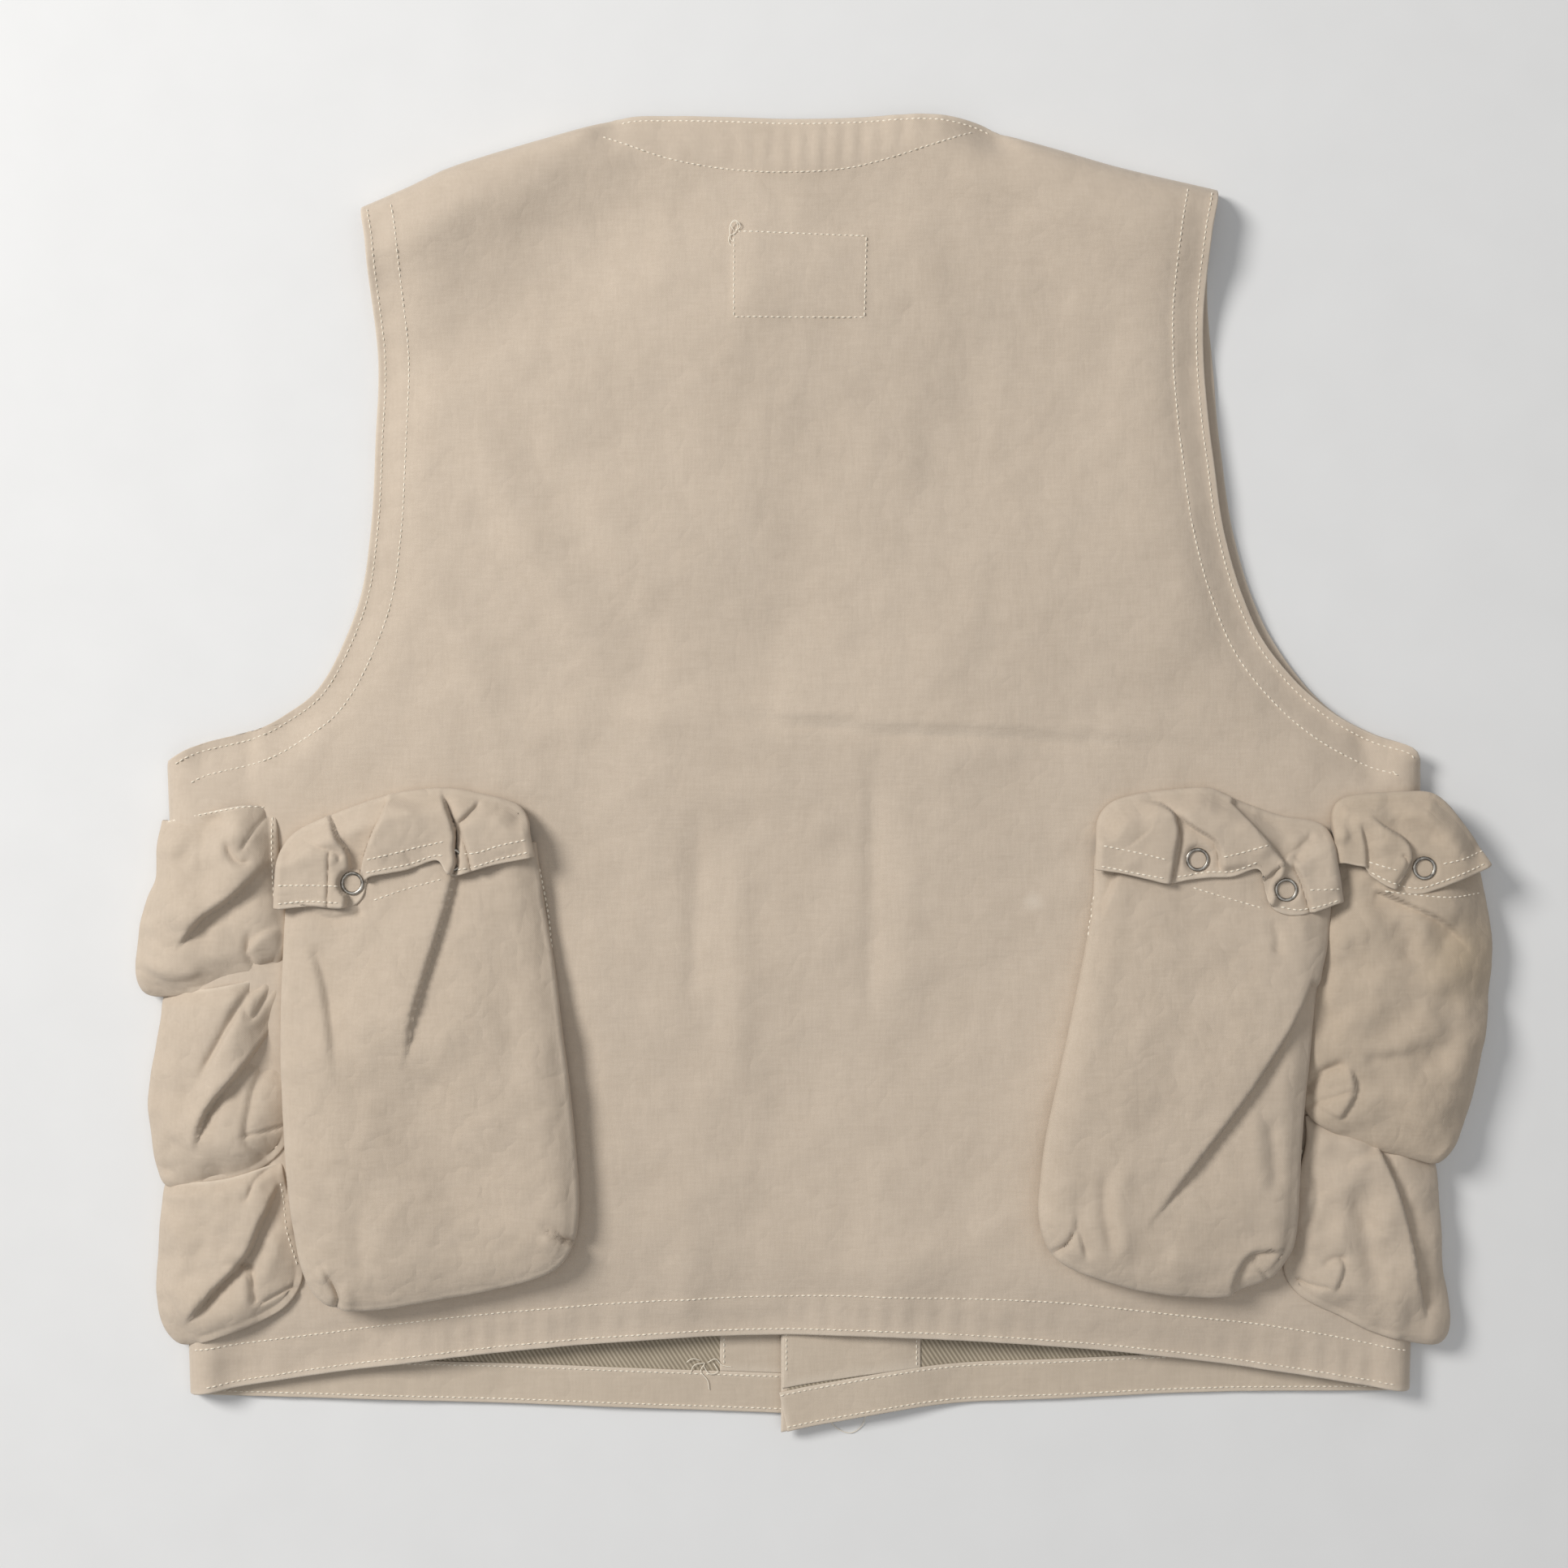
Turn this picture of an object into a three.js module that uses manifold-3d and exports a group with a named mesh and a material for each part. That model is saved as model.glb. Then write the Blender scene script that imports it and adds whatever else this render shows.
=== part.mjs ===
// Fishing vest in khaki cotton, lying on its front with its back upwards.
// Millimetres, +Z up, +Y towards the neck. X = 0 is the vest's centre line and Y = 0 the underarm,
// until the last lines move the origin to the middle of the whole vest's base.
// Left and right are the wearer's: left is -X.
import * as THREE from 'three';
import { mergeVertices } from 'three/addons/utils/BufferGeometryUtils.js';
import Module from 'manifold-3d';

// Cloth
const CLOTH = 1.4; // a panel, with the turnings sewn into its edges
const FACING = 0.7; // a single layer sewn inside a panel
const GAP = 0.3; // clearance between pieces that lie on each other
const SEAM_INSET = CLOTH + 2 * GAP; // a facing stops this far inside a seamed wall

// Body outline
const CHEST_WIDTH = 592;
const HEM_WIDTH = 576;
const SHOULDER_WIDTH = 404;
const NECK_WIDTH = 180;
const NECK_Y = 297;
const NECK_RISE = 7; // the back neck edge stands this much above the neck points
const SHOULDER_DROP = 31;
const HEM_SIDE_Y = -298;
const HEM_BACK_LIFT = 28; // the back hem's middle hangs this much higher than its corners
const ARMHOLE_WAIST = 10; // how far the armhole cuts in behind the shoulder tip
const ARMHOLE_SHOULDER_PULL = 116;
const ARMHOLE_BASE_PULL = 15;

// Fronts
const FOLD_MARGIN = 4; // the fold line runs this far outside the neck point
const LEFT_EDGE_X = 34; // hidden edge of the left front, under the right one
const RIGHT_EDGE_X = -6; // folded edge of the right front, seen in the hem's gap
const FRONT_NECK_DROP = 175;
const FRONT_NECK_CURVE = { inwards: 15, above: 18 }; // where the neckline's curve pulls to, from its ends
const LEFT_HEM_DROP = 11; // how far each front hangs lower at its edge than at the side
const RIGHT_HEM_DROP = 18;
const FOLD_HEM_DROP = 4; // and at the fold lines
const PLACKET_WIDTH = 66;
const FRONT_HEM_BAND = 18;

// Facings of the back
const ARMHOLE_FACING_WIDTH = 15;
const BACK_HEM_BAND = 22;
const NECK_FACING_DROP = 26;
const LABEL = { x: 3, y: 227, width: 61, height: 40 };

// Ring snaps
const SNAP_RING = { outer: 5.5, inner: 3.9, height: 0.8 };
const SNAP_SOCKET = { radius: 5, height: 1.3, recess: 1.0 };
const SNAP_STUD = { radius: 5, base: 0.5, nub: 0.8, nubRadius: 1.9 };
const SNAP_CLEARANCE = 0.5; // round the nub, in the socket's recess
const SNAP_STACK = 3 * GAP + SNAP_STUD.base + SNAP_SOCKET.height; // stud's cloth to socket's cloth
const ROUND_SIDES = 16;
const PLACKET_SNAPS = { count: 4, top: 90, pitch: 118 };

// Layers, from the surface that the vest lies on
const FRONT_Z = SNAP_RING.height + GAP;
const LAP_Z = FRONT_Z + CLOTH + GAP + FACING + SNAP_STACK; // lower face of the right front on the left one
const TORSO_DEPTH = 6; // free height between the right facing and the back's facings
const BACK_Z = LAP_Z + CLOTH + FACING + TORSO_DEPTH + FACING + 2 * GAP;
const BACK_TOP = BACK_Z + CLOTH;
const POCKET_BASE = BACK_TOP + GAP;

// Back pockets: a wedge, thin at the mouth and deep at the bottom, tilted with its flap.
// Its middle is inset from the underarm's side line.
const BACK_POCKET = { width: 112, height: 203, mouth: 6.5, depth: 20, flat: 32, ramp: 55, round: 14 };
const BACK_POCKET_TILT = THREE.MathUtils.degToRad(5);
const BACK_POCKETS = [
  {
    name: 'left_back', side: -1, inset: 115, y: -24, tilt: BACK_POCKET_TILT,
    snaps: [[-26.4, -30.8], [20.5, -24]],
  },
  {
    name: 'right_back', side: 1, inset: 99, y: -22, tilt: -BACK_POCKET_TILT,
    snaps: [[-7.9, -24.8], [34.2, -35.2]],
  },
];
// A flap slopes up from its seam over its ramp, where the pocket's mouth lies, and then runs flat.
const FLAP = { width: 112, length: 42, ramp: 17 };

const SIDE_FLAP = { name: 'right_side', inset: 4, y: -20, width: 66, snaps: [[0, -30]] };

// Side pockets wrap the side seam, from the back panel round to the surface the vest lies on.
// Each laps over the back by lap, and stands out by bulge, from the underarm's side line.
const SIDE_POCKETS = [
  { name: 'left_side_upper', side: -1, lap: 56, bulge: 13, top: -18, bottom: -103, mouth: 13, depth: 13 },
  { name: 'left_side_middle', side: -1, lap: 56, bulge: 7, top: -111, bottom: -193, mouth: 13, depth: 13 },
  { name: 'left_side_lower', side: -1, lap: 56, bulge: 5, top: -201, bottom: -275, mouth: 12, depth: 12 },
  {
    name: 'right_side_upper', side: 1, lap: 42, bulge: 31, top: SIDE_FLAP.y - FLAP.ramp, bottom: -189,
    mouth: 6.5, depth: 15,
  },
  { name: 'right_side_lower', side: 1, lap: 56, bulge: 13, top: -197, bottom: -282, mouth: 13, depth: 13 },
];
const SIDE_FLAT = 32; // length under the right side flap that keeps the mouth's depth
const SIDE_RAMP = 25;
const SIDE_ROUND = 5.6;

const PAST = 20; // how far a cutting shape runs past what it cuts
const CURVE_SEGMENTS = 10;

// ---------------------------------------------------------------- materials
const cotton = new THREE.MeshStandardMaterial({ color: 0xb7a68a, roughness: 0.95, metalness: 0 });
const facingCotton = new THREE.MeshStandardMaterial({ color: 0xb0a085, roughness: 0.95, metalness: 0 });
const labelCotton = new THREE.MeshStandardMaterial({ color: 0xa89a80, roughness: 0.9, metalness: 0 });
const steel = new THREE.MeshStandardMaterial({ color: 0xa9a69d, roughness: 0.35, metalness: 1 });

// ---------------------------------------------------------------- solids
const wasm = await Module();
wasm.setup();

const toSolid = (geometry) => {
  const bare = geometry.clone();
  bare.deleteAttribute('normal');
  bare.deleteAttribute('uv');
  const merged = mergeVertices(bare, 1e-4);
  return new wasm.Manifold(new wasm.Mesh({
    numProp: 3,
    vertProperties: new Float32Array(merged.attributes.position.array),
    triVerts: new Uint32Array(merged.index.array),
  }));
};

const toGeometry = (solid) => {
  const mesh = solid.getMesh();
  const geometry = new THREE.BufferGeometry();
  geometry.setAttribute('position', new THREE.BufferAttribute(new Float32Array(mesh.vertProperties), 3));
  geometry.setIndex(new THREE.BufferAttribute(new Uint32Array(mesh.triVerts), 1));
  geometry.computeVertexNormals();
  return geometry;
};

const polygon = (points) => new THREE.Shape(points.map(([x, y]) => new THREE.Vector2(x, y)));

// An outline in plan, given a thickness upwards from z.
const plate = (shape, z, thickness) => {
  const settings = { depth: thickness, bevelEnabled: false, curveSegments: CURVE_SEGMENTS };
  return new THREE.ExtrudeGeometry(shape, settings).translate(0, 0, z);
};

// A side view (y, z) carried along X from x0 to x1.
const acrossX = (points, x0, x1) => {
  const geometry = new THREE.ExtrudeGeometry(polygon(points), { depth: x1 - x0, bevelEnabled: false });
  const turn = new THREE.Matrix4().makeBasis(
    new THREE.Vector3(0, 1, 0), new THREE.Vector3(0, 0, 1), new THREE.Vector3(1, 0, 0),
  );
  return geometry.applyMatrix4(turn).translate(x0, 0, 0);
};

// An end view (x, z) carried along Y from y0 down to y1.
const alongY = (points, y0, y1) => {
  const geometry = new THREE.ExtrudeGeometry(polygon(points), { depth: y0 - y1, bevelEnabled: false });
  const turn = new THREE.Matrix4().makeBasis(
    new THREE.Vector3(1, 0, 0), new THREE.Vector3(0, 0, 1), new THREE.Vector3(0, -1, 0),
  );
  return geometry.applyMatrix4(turn).translate(0, y0, 0);
};

// A profile (radius, height) turned about the vertical.
const turned = (points) => {
  const profile = points.map(([r, h]) => new THREE.Vector2(r, h));
  return new THREE.LatheGeometry(profile, ROUND_SIDES).rotateX(Math.PI / 2);
};

const vest = new THREE.Group();

const addPiece = (parent, name, geometry, material) => {
  const mesh = new THREE.Mesh(geometry, material);
  mesh.name = name;
  parent.add(mesh);
  return mesh;
};

// ---------------------------------------------------------------- outlines
const neckX = NECK_WIDTH / 2;
const foldX = neckX + FOLD_MARGIN;
const tip = { x: SHOULDER_WIDTH / 2, y: NECK_Y - SHOULDER_DROP };
const underarm = { x: CHEST_WIDTH / 2, y: 0 };
const hemCorner = { x: HEM_WIDTH / 2, y: HEM_SIDE_Y };
const frontNeckY = NECK_Y - FRONT_NECK_DROP;
const foldHemY = hemCorner.y - FOLD_HEM_DROP;

const sideX = (y) => underarm.x + ((hemCorner.x - underarm.x) * y) / hemCorner.y;
const shoulderY = (x) => NECK_Y - (SHOULDER_DROP * (x - neckX)) / (tip.x - neckX);

// The armhole from the shoulder tip to the underarm, on side s, moved inwards by w.
const armholeDown = (shape, s, w) => shape.bezierCurveTo(
  s * (tip.x - ARMHOLE_WAIST - w), tip.y - ARMHOLE_SHOULDER_PULL - w,
  s * (tip.x - w), ARMHOLE_BASE_PULL - w,
  s * (underarm.x - (w ? SEAM_INSET : 0)), underarm.y - w,
);
const armholeUp = (shape, s, w) => shape.bezierCurveTo(
  s * (tip.x - w), ARMHOLE_BASE_PULL - w,
  s * (tip.x - ARMHOLE_WAIST - w), tip.y - ARMHOLE_SHOULDER_PULL - w,
  s * (tip.x - w), tip.y - (w ? SEAM_INSET : 0),
);

const backOutline = () => {
  const shape = new THREE.Shape();
  shape.moveTo(-neckX, NECK_Y);
  shape.quadraticCurveTo(0, NECK_Y + 2 * NECK_RISE, neckX, NECK_Y);
  shape.lineTo(tip.x, tip.y);
  armholeDown(shape, 1, 0);
  shape.lineTo(hemCorner.x, hemCorner.y);
  shape.quadraticCurveTo(0, hemCorner.y + 2 * HEM_BACK_LIFT, -hemCorner.x, hemCorner.y);
  shape.lineTo(-underarm.x, underarm.y);
  armholeUp(shape, -1, 0);
  return shape;
};

// ---------------------------------------------------------------- back
addPiece(vest, 'back_panel', plate(backOutline(), BACK_Z, CLOTH), cotton);

const backFacingZ = BACK_Z - GAP - FACING;

const neckFacing = new THREE.Shape();
neckFacing.moveTo(-neckX + SEAM_INSET, NECK_Y);
neckFacing.quadraticCurveTo(0, NECK_Y + 2 * NECK_RISE, neckX - SEAM_INSET, NECK_Y);
neckFacing.quadraticCurveTo(0, NECK_Y - 2 * NECK_FACING_DROP, -neckX + SEAM_INSET, NECK_Y);
addPiece(vest, 'neck_facing', plate(neckFacing, backFacingZ, FACING), facingCotton);

for (const [side, s] of [['left', -1], ['right', 1]]) {
  const facing = new THREE.Shape();
  facing.moveTo(s * (tip.x - GAP), tip.y - SEAM_INSET);
  armholeDown(facing, s, GAP);
  facing.lineTo(s * (sideX(-ARMHOLE_FACING_WIDTH) - SEAM_INSET), -ARMHOLE_FACING_WIDTH);
  armholeUp(facing, s, ARMHOLE_FACING_WIDTH);
  addPiece(vest, `${side}_armhole_facing`, plate(facing, backFacingZ, FACING), facingCotton);
}

const hemFacing = new THREE.Shape();
const hemFacingX = hemCorner.x - 2 * SEAM_INSET;
hemFacing.moveTo(-hemFacingX, hemCorner.y + GAP);
hemFacing.quadraticCurveTo(0, hemCorner.y + 2 * HEM_BACK_LIFT, hemFacingX, hemCorner.y + GAP);
hemFacing.lineTo(hemFacingX, hemCorner.y + BACK_HEM_BAND);
hemFacing.quadraticCurveTo(
  0, hemCorner.y + 2 * HEM_BACK_LIFT + BACK_HEM_BAND, -hemFacingX, hemCorner.y + BACK_HEM_BAND,
);
addPiece(vest, 'back_hem_facing', plate(hemFacing, backFacingZ, FACING), facingCotton);

const halfLabel = LABEL.width / 2;
const labelOutline = polygon([
  [LABEL.x - halfLabel, LABEL.y - LABEL.height / 2], [LABEL.x + halfLabel, LABEL.y - LABEL.height / 2],
  [LABEL.x + halfLabel, LABEL.y + LABEL.height / 2], [LABEL.x - halfLabel, LABEL.y + LABEL.height / 2],
]);
addPiece(vest, 'label_patch', plate(labelOutline, backFacingZ, FACING), labelCotton);

// ---------------------------------------------------------------- sides of the fronts
// Each front is one cloth. Outside its fold line it is sewn to the back at the side and the shoulder,
// so that stretch is fixed: a plate with a wall up to the back panel along both seams.
const wallTop = BACK_Z - GAP;
for (const [side, s] of [['left', -1], ['right', 1]]) {
  const strip = new THREE.Shape();
  const stripX = foldX + GAP;
  strip.moveTo(s * stripX, shoulderY(stripX));
  strip.lineTo(s * tip.x, tip.y);
  armholeDown(strip, s, 0);
  strip.lineTo(s * hemCorner.x, hemCorner.y);
  strip.lineTo(s * stripX, foldHemY);
  const sideWall = polygon([
    [s * underarm.x, underarm.y], [s * hemCorner.x, hemCorner.y],
    [s * (hemCorner.x - CLOTH), hemCorner.y], [s * (underarm.x - CLOTH), underarm.y],
  ]);
  const shoulderWall = polygon([
    [s * stripX, shoulderY(stripX)], [s * tip.x, tip.y],
    [s * tip.x, tip.y - CLOTH], [s * stripX, shoulderY(stripX) - CLOTH],
  ]);
  const wallHeight = wallTop - FRONT_Z;
  const fixedFront = toSolid(plate(strip, FRONT_Z, CLOTH))
    .add(toSolid(plate(sideWall, FRONT_Z, wallHeight)))
    .add(toSolid(plate(shoulderWall, FRONT_Z, wallHeight)));
  addPiece(vest, `${side}_front_side`, toGeometry(fixedFront), cotton);
}

// ---------------------------------------------------------------- opening leaves of the fronts
const leafOutline = (s, edgeX, hemDrop) => {
  const shape = new THREE.Shape();
  const leafX = foldX - GAP;
  const edge = s * edgeX;
  shape.moveTo(s * leafX, NECK_Y - CLOTH);
  shape.lineTo(s * neckX, NECK_Y - CLOTH);
  shape.quadraticCurveTo(
    s * (neckX - FRONT_NECK_CURVE.inwards), frontNeckY + FRONT_NECK_CURVE.above, edge, frontNeckY,
  );
  shape.lineTo(edge, hemCorner.y - hemDrop);
  shape.lineTo(s * leafX, foldHemY);
  return shape;
};

const plackets = [
  { side: 'left', s: -1, edge: -LEFT_EDGE_X, drop: LEFT_HEM_DROP, z: FRONT_Z },
  { side: 'right', s: 1, edge: RIGHT_EDGE_X, drop: RIGHT_HEM_DROP, z: LAP_Z },
];
for (const { side, s, edge, drop, z } of plackets) {
  const edgeX = s * edge;
  const leafX = s * (foldX - GAP);
  const flatEnd = edgeX + s * (PLACKET_WIDTH + GAP);
  // End view: along the fold it lies at the fixed side's height, and then at its own.
  const endView = [
    [leafX, FRONT_Z], [flatEnd, z], [edgeX, z],
    [edgeX, z + CLOTH], [flatEnd, z + CLOTH], [leafX, FRONT_Z + CLOTH],
  ];
  const lowest = hemCorner.y - drop - PAST;
  const leaf = toSolid(alongY(endView, NECK_Y + PAST, lowest))
    .intersect(toSolid(plate(leafOutline(s, edge, drop), FRONT_Z - PAST, LAP_Z + 2 * PAST)));
  addPiece(vest, `${side}_front_leaf`, toGeometry(leaf), cotton);

  const facingZ = z + CLOTH + GAP;
  const innerEdge = edgeX + s * PLACKET_WIDTH;
  const edgeHem = hemCorner.y - drop + GAP;
  const innerHem = foldHemY - GAP;
  const facing = polygon([
    [edgeX, edgeHem + FRONT_HEM_BAND + GAP], [innerEdge, innerHem + FRONT_HEM_BAND + GAP],
    [innerEdge, frontNeckY], [edgeX, frontNeckY],
  ]);
  addPiece(vest, `${side}_placket_facing`, plate(facing, facingZ, FACING), facingCotton);
  const band = polygon([
    [edgeX, edgeHem], [innerEdge, innerHem],
    [innerEdge, innerHem + FRONT_HEM_BAND], [edgeX, edgeHem + FRONT_HEM_BAND],
  ]);
  addPiece(vest, `${side}_front_hem_band`, plate(band, facingZ, FACING), facingCotton);
}

// ---------------------------------------------------------------- ring snaps
// Each is built upwards from z = 0 at its lowest face.
const snapRing = () => turned([
  [SNAP_RING.inner, 0], [SNAP_RING.outer, 0], [SNAP_RING.outer, SNAP_RING.height],
  [SNAP_RING.inner, SNAP_RING.height], [SNAP_RING.inner, 0],
]);
// The socket's recess opens upwards.
const snapSocket = () => {
  const recess = SNAP_STUD.nubRadius + SNAP_CLEARANCE;
  const floor = SNAP_SOCKET.height - SNAP_SOCKET.recess;
  return turned([
    [0, 0], [SNAP_SOCKET.radius, 0], [SNAP_SOCKET.radius, SNAP_SOCKET.height],
    [recess, SNAP_SOCKET.height], [recess, floor], [0, floor],
  ]);
};
// The stud's nub points upwards.
const snapStud = () => turned([
  [0, 0], [SNAP_STUD.radius, 0], [SNAP_STUD.radius, SNAP_STUD.base],
  [SNAP_STUD.nubRadius, SNAP_STUD.base], [SNAP_STUD.nubRadius, SNAP_STUD.base + SNAP_STUD.nub],
  [0, SNAP_STUD.base + SNAP_STUD.nub],
]);
const upsideDown = (geometry) => geometry.rotateX(Math.PI);

const lapMiddle = (LEFT_EDGE_X + RIGHT_EDGE_X) / 2;
for (let i = 0; i < PLACKET_SNAPS.count; i += 1) {
  const y = PLACKET_SNAPS.top - i * PLACKET_SNAPS.pitch;
  const socketZ = FRONT_Z + CLOTH + 2 * GAP + FACING;
  const pieces = [
    [`placket_ring_${i + 1}`, snapRing(), 0],
    [`placket_socket_${i + 1}`, snapSocket(), socketZ],
    [`placket_stud_${i + 1}`, upsideDown(snapStud()), LAP_Z - GAP],
  ];
  for (const [name, geometry, z] of pieces) {
    addPiece(vest, name, geometry, steel).position.set(lapMiddle, y, z);
  }
}

// ---------------------------------------------------------------- pockets and flaps
// The side view of a pocket: flat under its flap, then a ramp to full depth, then a rounded bottom.
const pocketSide = ({ height, mouth, depth, flat, ramp, round }, wall, base, past) => [
  [past, base], [past, mouth - wall], [-flat, mouth - wall], [-flat - ramp, depth - wall],
  [-height + round, depth - wall], [-height + wall, depth - round / 2], [-height + wall, base],
];

// A flap with its snaps: ring and socket on the flap, stud on the pocket's front.
const addFlap = (parent, name, width, mouth, snaps) => {
  const under = mouth + SNAP_STACK;
  const side = [
    [-GAP, 0], [-FLAP.ramp, under], [-FLAP.length, under],
    [-FLAP.length, under + CLOTH], [-FLAP.ramp, under + CLOTH], [-GAP, CLOTH],
  ];
  addPiece(parent, `${name}_flap`, acrossX(side, -width / 2, width / 2), cotton);
  snaps.forEach(([x, y], i) => {
    const id = snaps.length > 1 ? `_${i + 1}` : '';
    const pieces = [
      [`${name}_snap_stud${id}`, snapStud(), mouth + GAP],
      [`${name}_snap_socket${id}`, upsideDown(snapSocket()), under - GAP],
      [`${name}_snap_ring${id}`, snapRing(), under + CLOTH + GAP],
    ];
    for (const [pieceName, geometry, z] of pieces) {
      addPiece(parent, pieceName, geometry, steel).position.set(x, y, z);
    }
  });
};

for (const { name, side, inset, y, tilt, snaps } of BACK_POCKETS) {
  const pocket = new THREE.Group();
  pocket.position.set(side * (underarm.x - inset), y, POCKET_BASE);
  pocket.rotation.z = tilt;
  vest.add(pocket);
  const half = BACK_POCKET.width / 2;
  const shell = toSolid(acrossX(pocketSide(BACK_POCKET, 0, 0, 0), -half, half));
  const hollow = toSolid(acrossX(pocketSide(BACK_POCKET, CLOTH, -PAST, PAST), CLOTH - half, half - CLOTH));
  const bag = addPiece(pocket, `${name}_pocket`, toGeometry(shell.subtract(hollow)), cotton);
  bag.position.y = -FLAP.ramp;
  addFlap(pocket, name, FLAP.width, BACK_POCKET.mouth, snaps);
}

for (const { name, side: s, lap, bulge, top, bottom, mouth, depth } of SIDE_POCKETS) {
  const side = {
    height: top - bottom, mouth: POCKET_BASE + mouth, depth: POCKET_BASE + depth,
    flat: SIDE_FLAT, ramp: SIDE_RAMP, round: SIDE_ROUND,
  };
  const [x0, x1] = [s * (underarm.x - lap), s * (underarm.x + bulge)].sort((a, b) => a - b);
  const shell = toSolid(acrossX(pocketSide(side, 0, 0, 0), x0, x1));
  const hollow = toSolid(acrossX(pocketSide(side, CLOTH, CLOTH, PAST), x0 + CLOTH, x1 - CLOTH));
  // Clear of the vest's own side, seam and back panel.
  const clearX = (y) => s * (sideX(y) + GAP);
  const body = toSolid(plate(polygon([
    [0, PAST], [clearX(PAST), PAST], [clearX(bottom - PAST), bottom - PAST], [0, bottom - PAST],
  ]), -PAST, POCKET_BASE + PAST));
  const bag = shell.subtract(hollow).translate([0, top, 0]).subtract(body);
  addPiece(vest, `${name}_pocket`, toGeometry(bag), cotton);
}

const sideFlap = new THREE.Group();
sideFlap.position.set(underarm.x - SIDE_FLAP.inset, SIDE_FLAP.y, POCKET_BASE);
vest.add(sideFlap);
const flappedSide = SIDE_POCKETS.find(({ name }) => name === 'right_side_upper');
addFlap(sideFlap, SIDE_FLAP.name, SIDE_FLAP.width, flappedSide.mouth, SIDE_FLAP.snaps);

// ---------------------------------------------------------------- origin
const box = new THREE.Box3().setFromObject(vest);
const middle = box.getCenter(new THREE.Vector3());
vest.position.set(-middle.x, -middle.y, -box.min.z);

export default vest;
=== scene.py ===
"""A khaki cotton fishing vest, lying on its front with its back upwards.
Shapes are worked out in millimetres in the model's frame and become metres where a mesh is made.
Left and right are the wearer's, and left is -X."""

import bpy
import numpy as np
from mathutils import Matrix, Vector


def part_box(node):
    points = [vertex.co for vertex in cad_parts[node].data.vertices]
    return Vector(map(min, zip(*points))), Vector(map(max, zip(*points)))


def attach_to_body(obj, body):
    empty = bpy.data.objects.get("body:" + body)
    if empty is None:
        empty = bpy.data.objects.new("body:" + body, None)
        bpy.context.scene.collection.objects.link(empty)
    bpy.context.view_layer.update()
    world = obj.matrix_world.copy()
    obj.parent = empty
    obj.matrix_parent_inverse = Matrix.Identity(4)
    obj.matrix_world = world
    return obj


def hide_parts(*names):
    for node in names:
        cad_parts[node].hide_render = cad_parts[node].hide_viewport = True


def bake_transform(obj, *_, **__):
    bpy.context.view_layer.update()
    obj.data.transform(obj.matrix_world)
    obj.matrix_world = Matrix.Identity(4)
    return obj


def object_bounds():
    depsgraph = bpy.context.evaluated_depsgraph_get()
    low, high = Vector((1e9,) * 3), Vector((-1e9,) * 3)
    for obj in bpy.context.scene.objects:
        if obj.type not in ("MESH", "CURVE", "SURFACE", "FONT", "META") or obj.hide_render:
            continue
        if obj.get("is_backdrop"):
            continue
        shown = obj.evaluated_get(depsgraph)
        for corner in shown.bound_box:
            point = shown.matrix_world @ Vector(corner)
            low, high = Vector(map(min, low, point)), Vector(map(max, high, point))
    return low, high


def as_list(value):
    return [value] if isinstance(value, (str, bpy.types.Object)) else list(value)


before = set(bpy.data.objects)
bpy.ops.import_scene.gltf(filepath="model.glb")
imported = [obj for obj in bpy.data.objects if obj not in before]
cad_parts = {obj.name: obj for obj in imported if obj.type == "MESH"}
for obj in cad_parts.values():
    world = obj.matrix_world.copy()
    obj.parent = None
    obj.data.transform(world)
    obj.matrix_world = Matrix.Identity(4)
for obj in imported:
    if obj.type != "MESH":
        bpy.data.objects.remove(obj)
cad_box = [list(corner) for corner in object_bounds()]
MM = 0.001
CLOTH, POCKET_CLOTH, BAND_CLOTH = 1.4, 1.3, 0.7  # thickness of the body, the pockets and the sewn strips

# ---------------------------------------------------------------- camera
camera = bpy.data.objects.new("camera", bpy.data.cameras.new("camera"))
bpy.context.scene.collection.objects.link(camera)
camera.location = (-0.0136, -0.005, 1.150)
camera.data.sensor_width = 36
camera.data.lens = 55.6
bpy.context.scene.camera = camera


# ---------------------------------------------------------------- lines and relief
def step(a, b, x):
    """0 up to a and 1 from b, with the cubic 3t^2 - 2t^3 between them."""
    t = np.clip((x - a) / (b - a), 0, 1)
    return t * t * (3 - 2 * t)


def bell(x, wide):
    """1 at 0, falling as exp(-(x / wide)^2)."""
    return np.exp(-((x / wide) ** 2))


def roll(d, radius):
    """How far a rolled edge has dropped, from 1 at the edge to 0 a radius inside it: one less a quarter
    circle."""
    return 1 - np.sqrt(np.clip(1 - (1 - np.clip(d / radius, 0, 1)) ** 2, 0, 1))


def lengths(line):
    """Distance along a line of points to each of them."""
    return np.r_[0, np.cumsum(np.linalg.norm(np.diff(line, axis=0), axis=1))]


def at(line, share):
    """Points at shares of a line's whole length."""
    run = lengths(line)
    return np.stack([np.interp(share * run[-1], run, line[:, k]) for k in range(line.shape[1])], -1)


def curve(points, gap=1.0, count=None):
    """Catmull-Rom spline through the points, put at equal distances of about gap."""
    p = np.asarray(points, float)
    p = np.vstack([2 * p[0] - p[1], p, 2 * p[-1] - p[-2]])
    n = len(p) - 3
    t = np.linspace(0, n, 30 * n + 1)
    i = np.minimum(t.astype(int), n - 1)
    f = (t - i)[:, None]
    a, b, c, d = p[i], p[i + 1], p[i + 2], p[i + 3]
    dense = 0.5 * (2 * b + (c - a) * f + (2 * a - 5 * b + 4 * c - d) * f**2 + (3 * b - a - 3 * c + d) * f**3)
    count = count or max(2, int(lengths(dense)[-1] / gap) + 1)
    return sampled(dense, count)


def sampled(line, count):
    """A line as count points at equal distances along it."""
    return at(line, np.linspace(0, 1, count))


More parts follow.
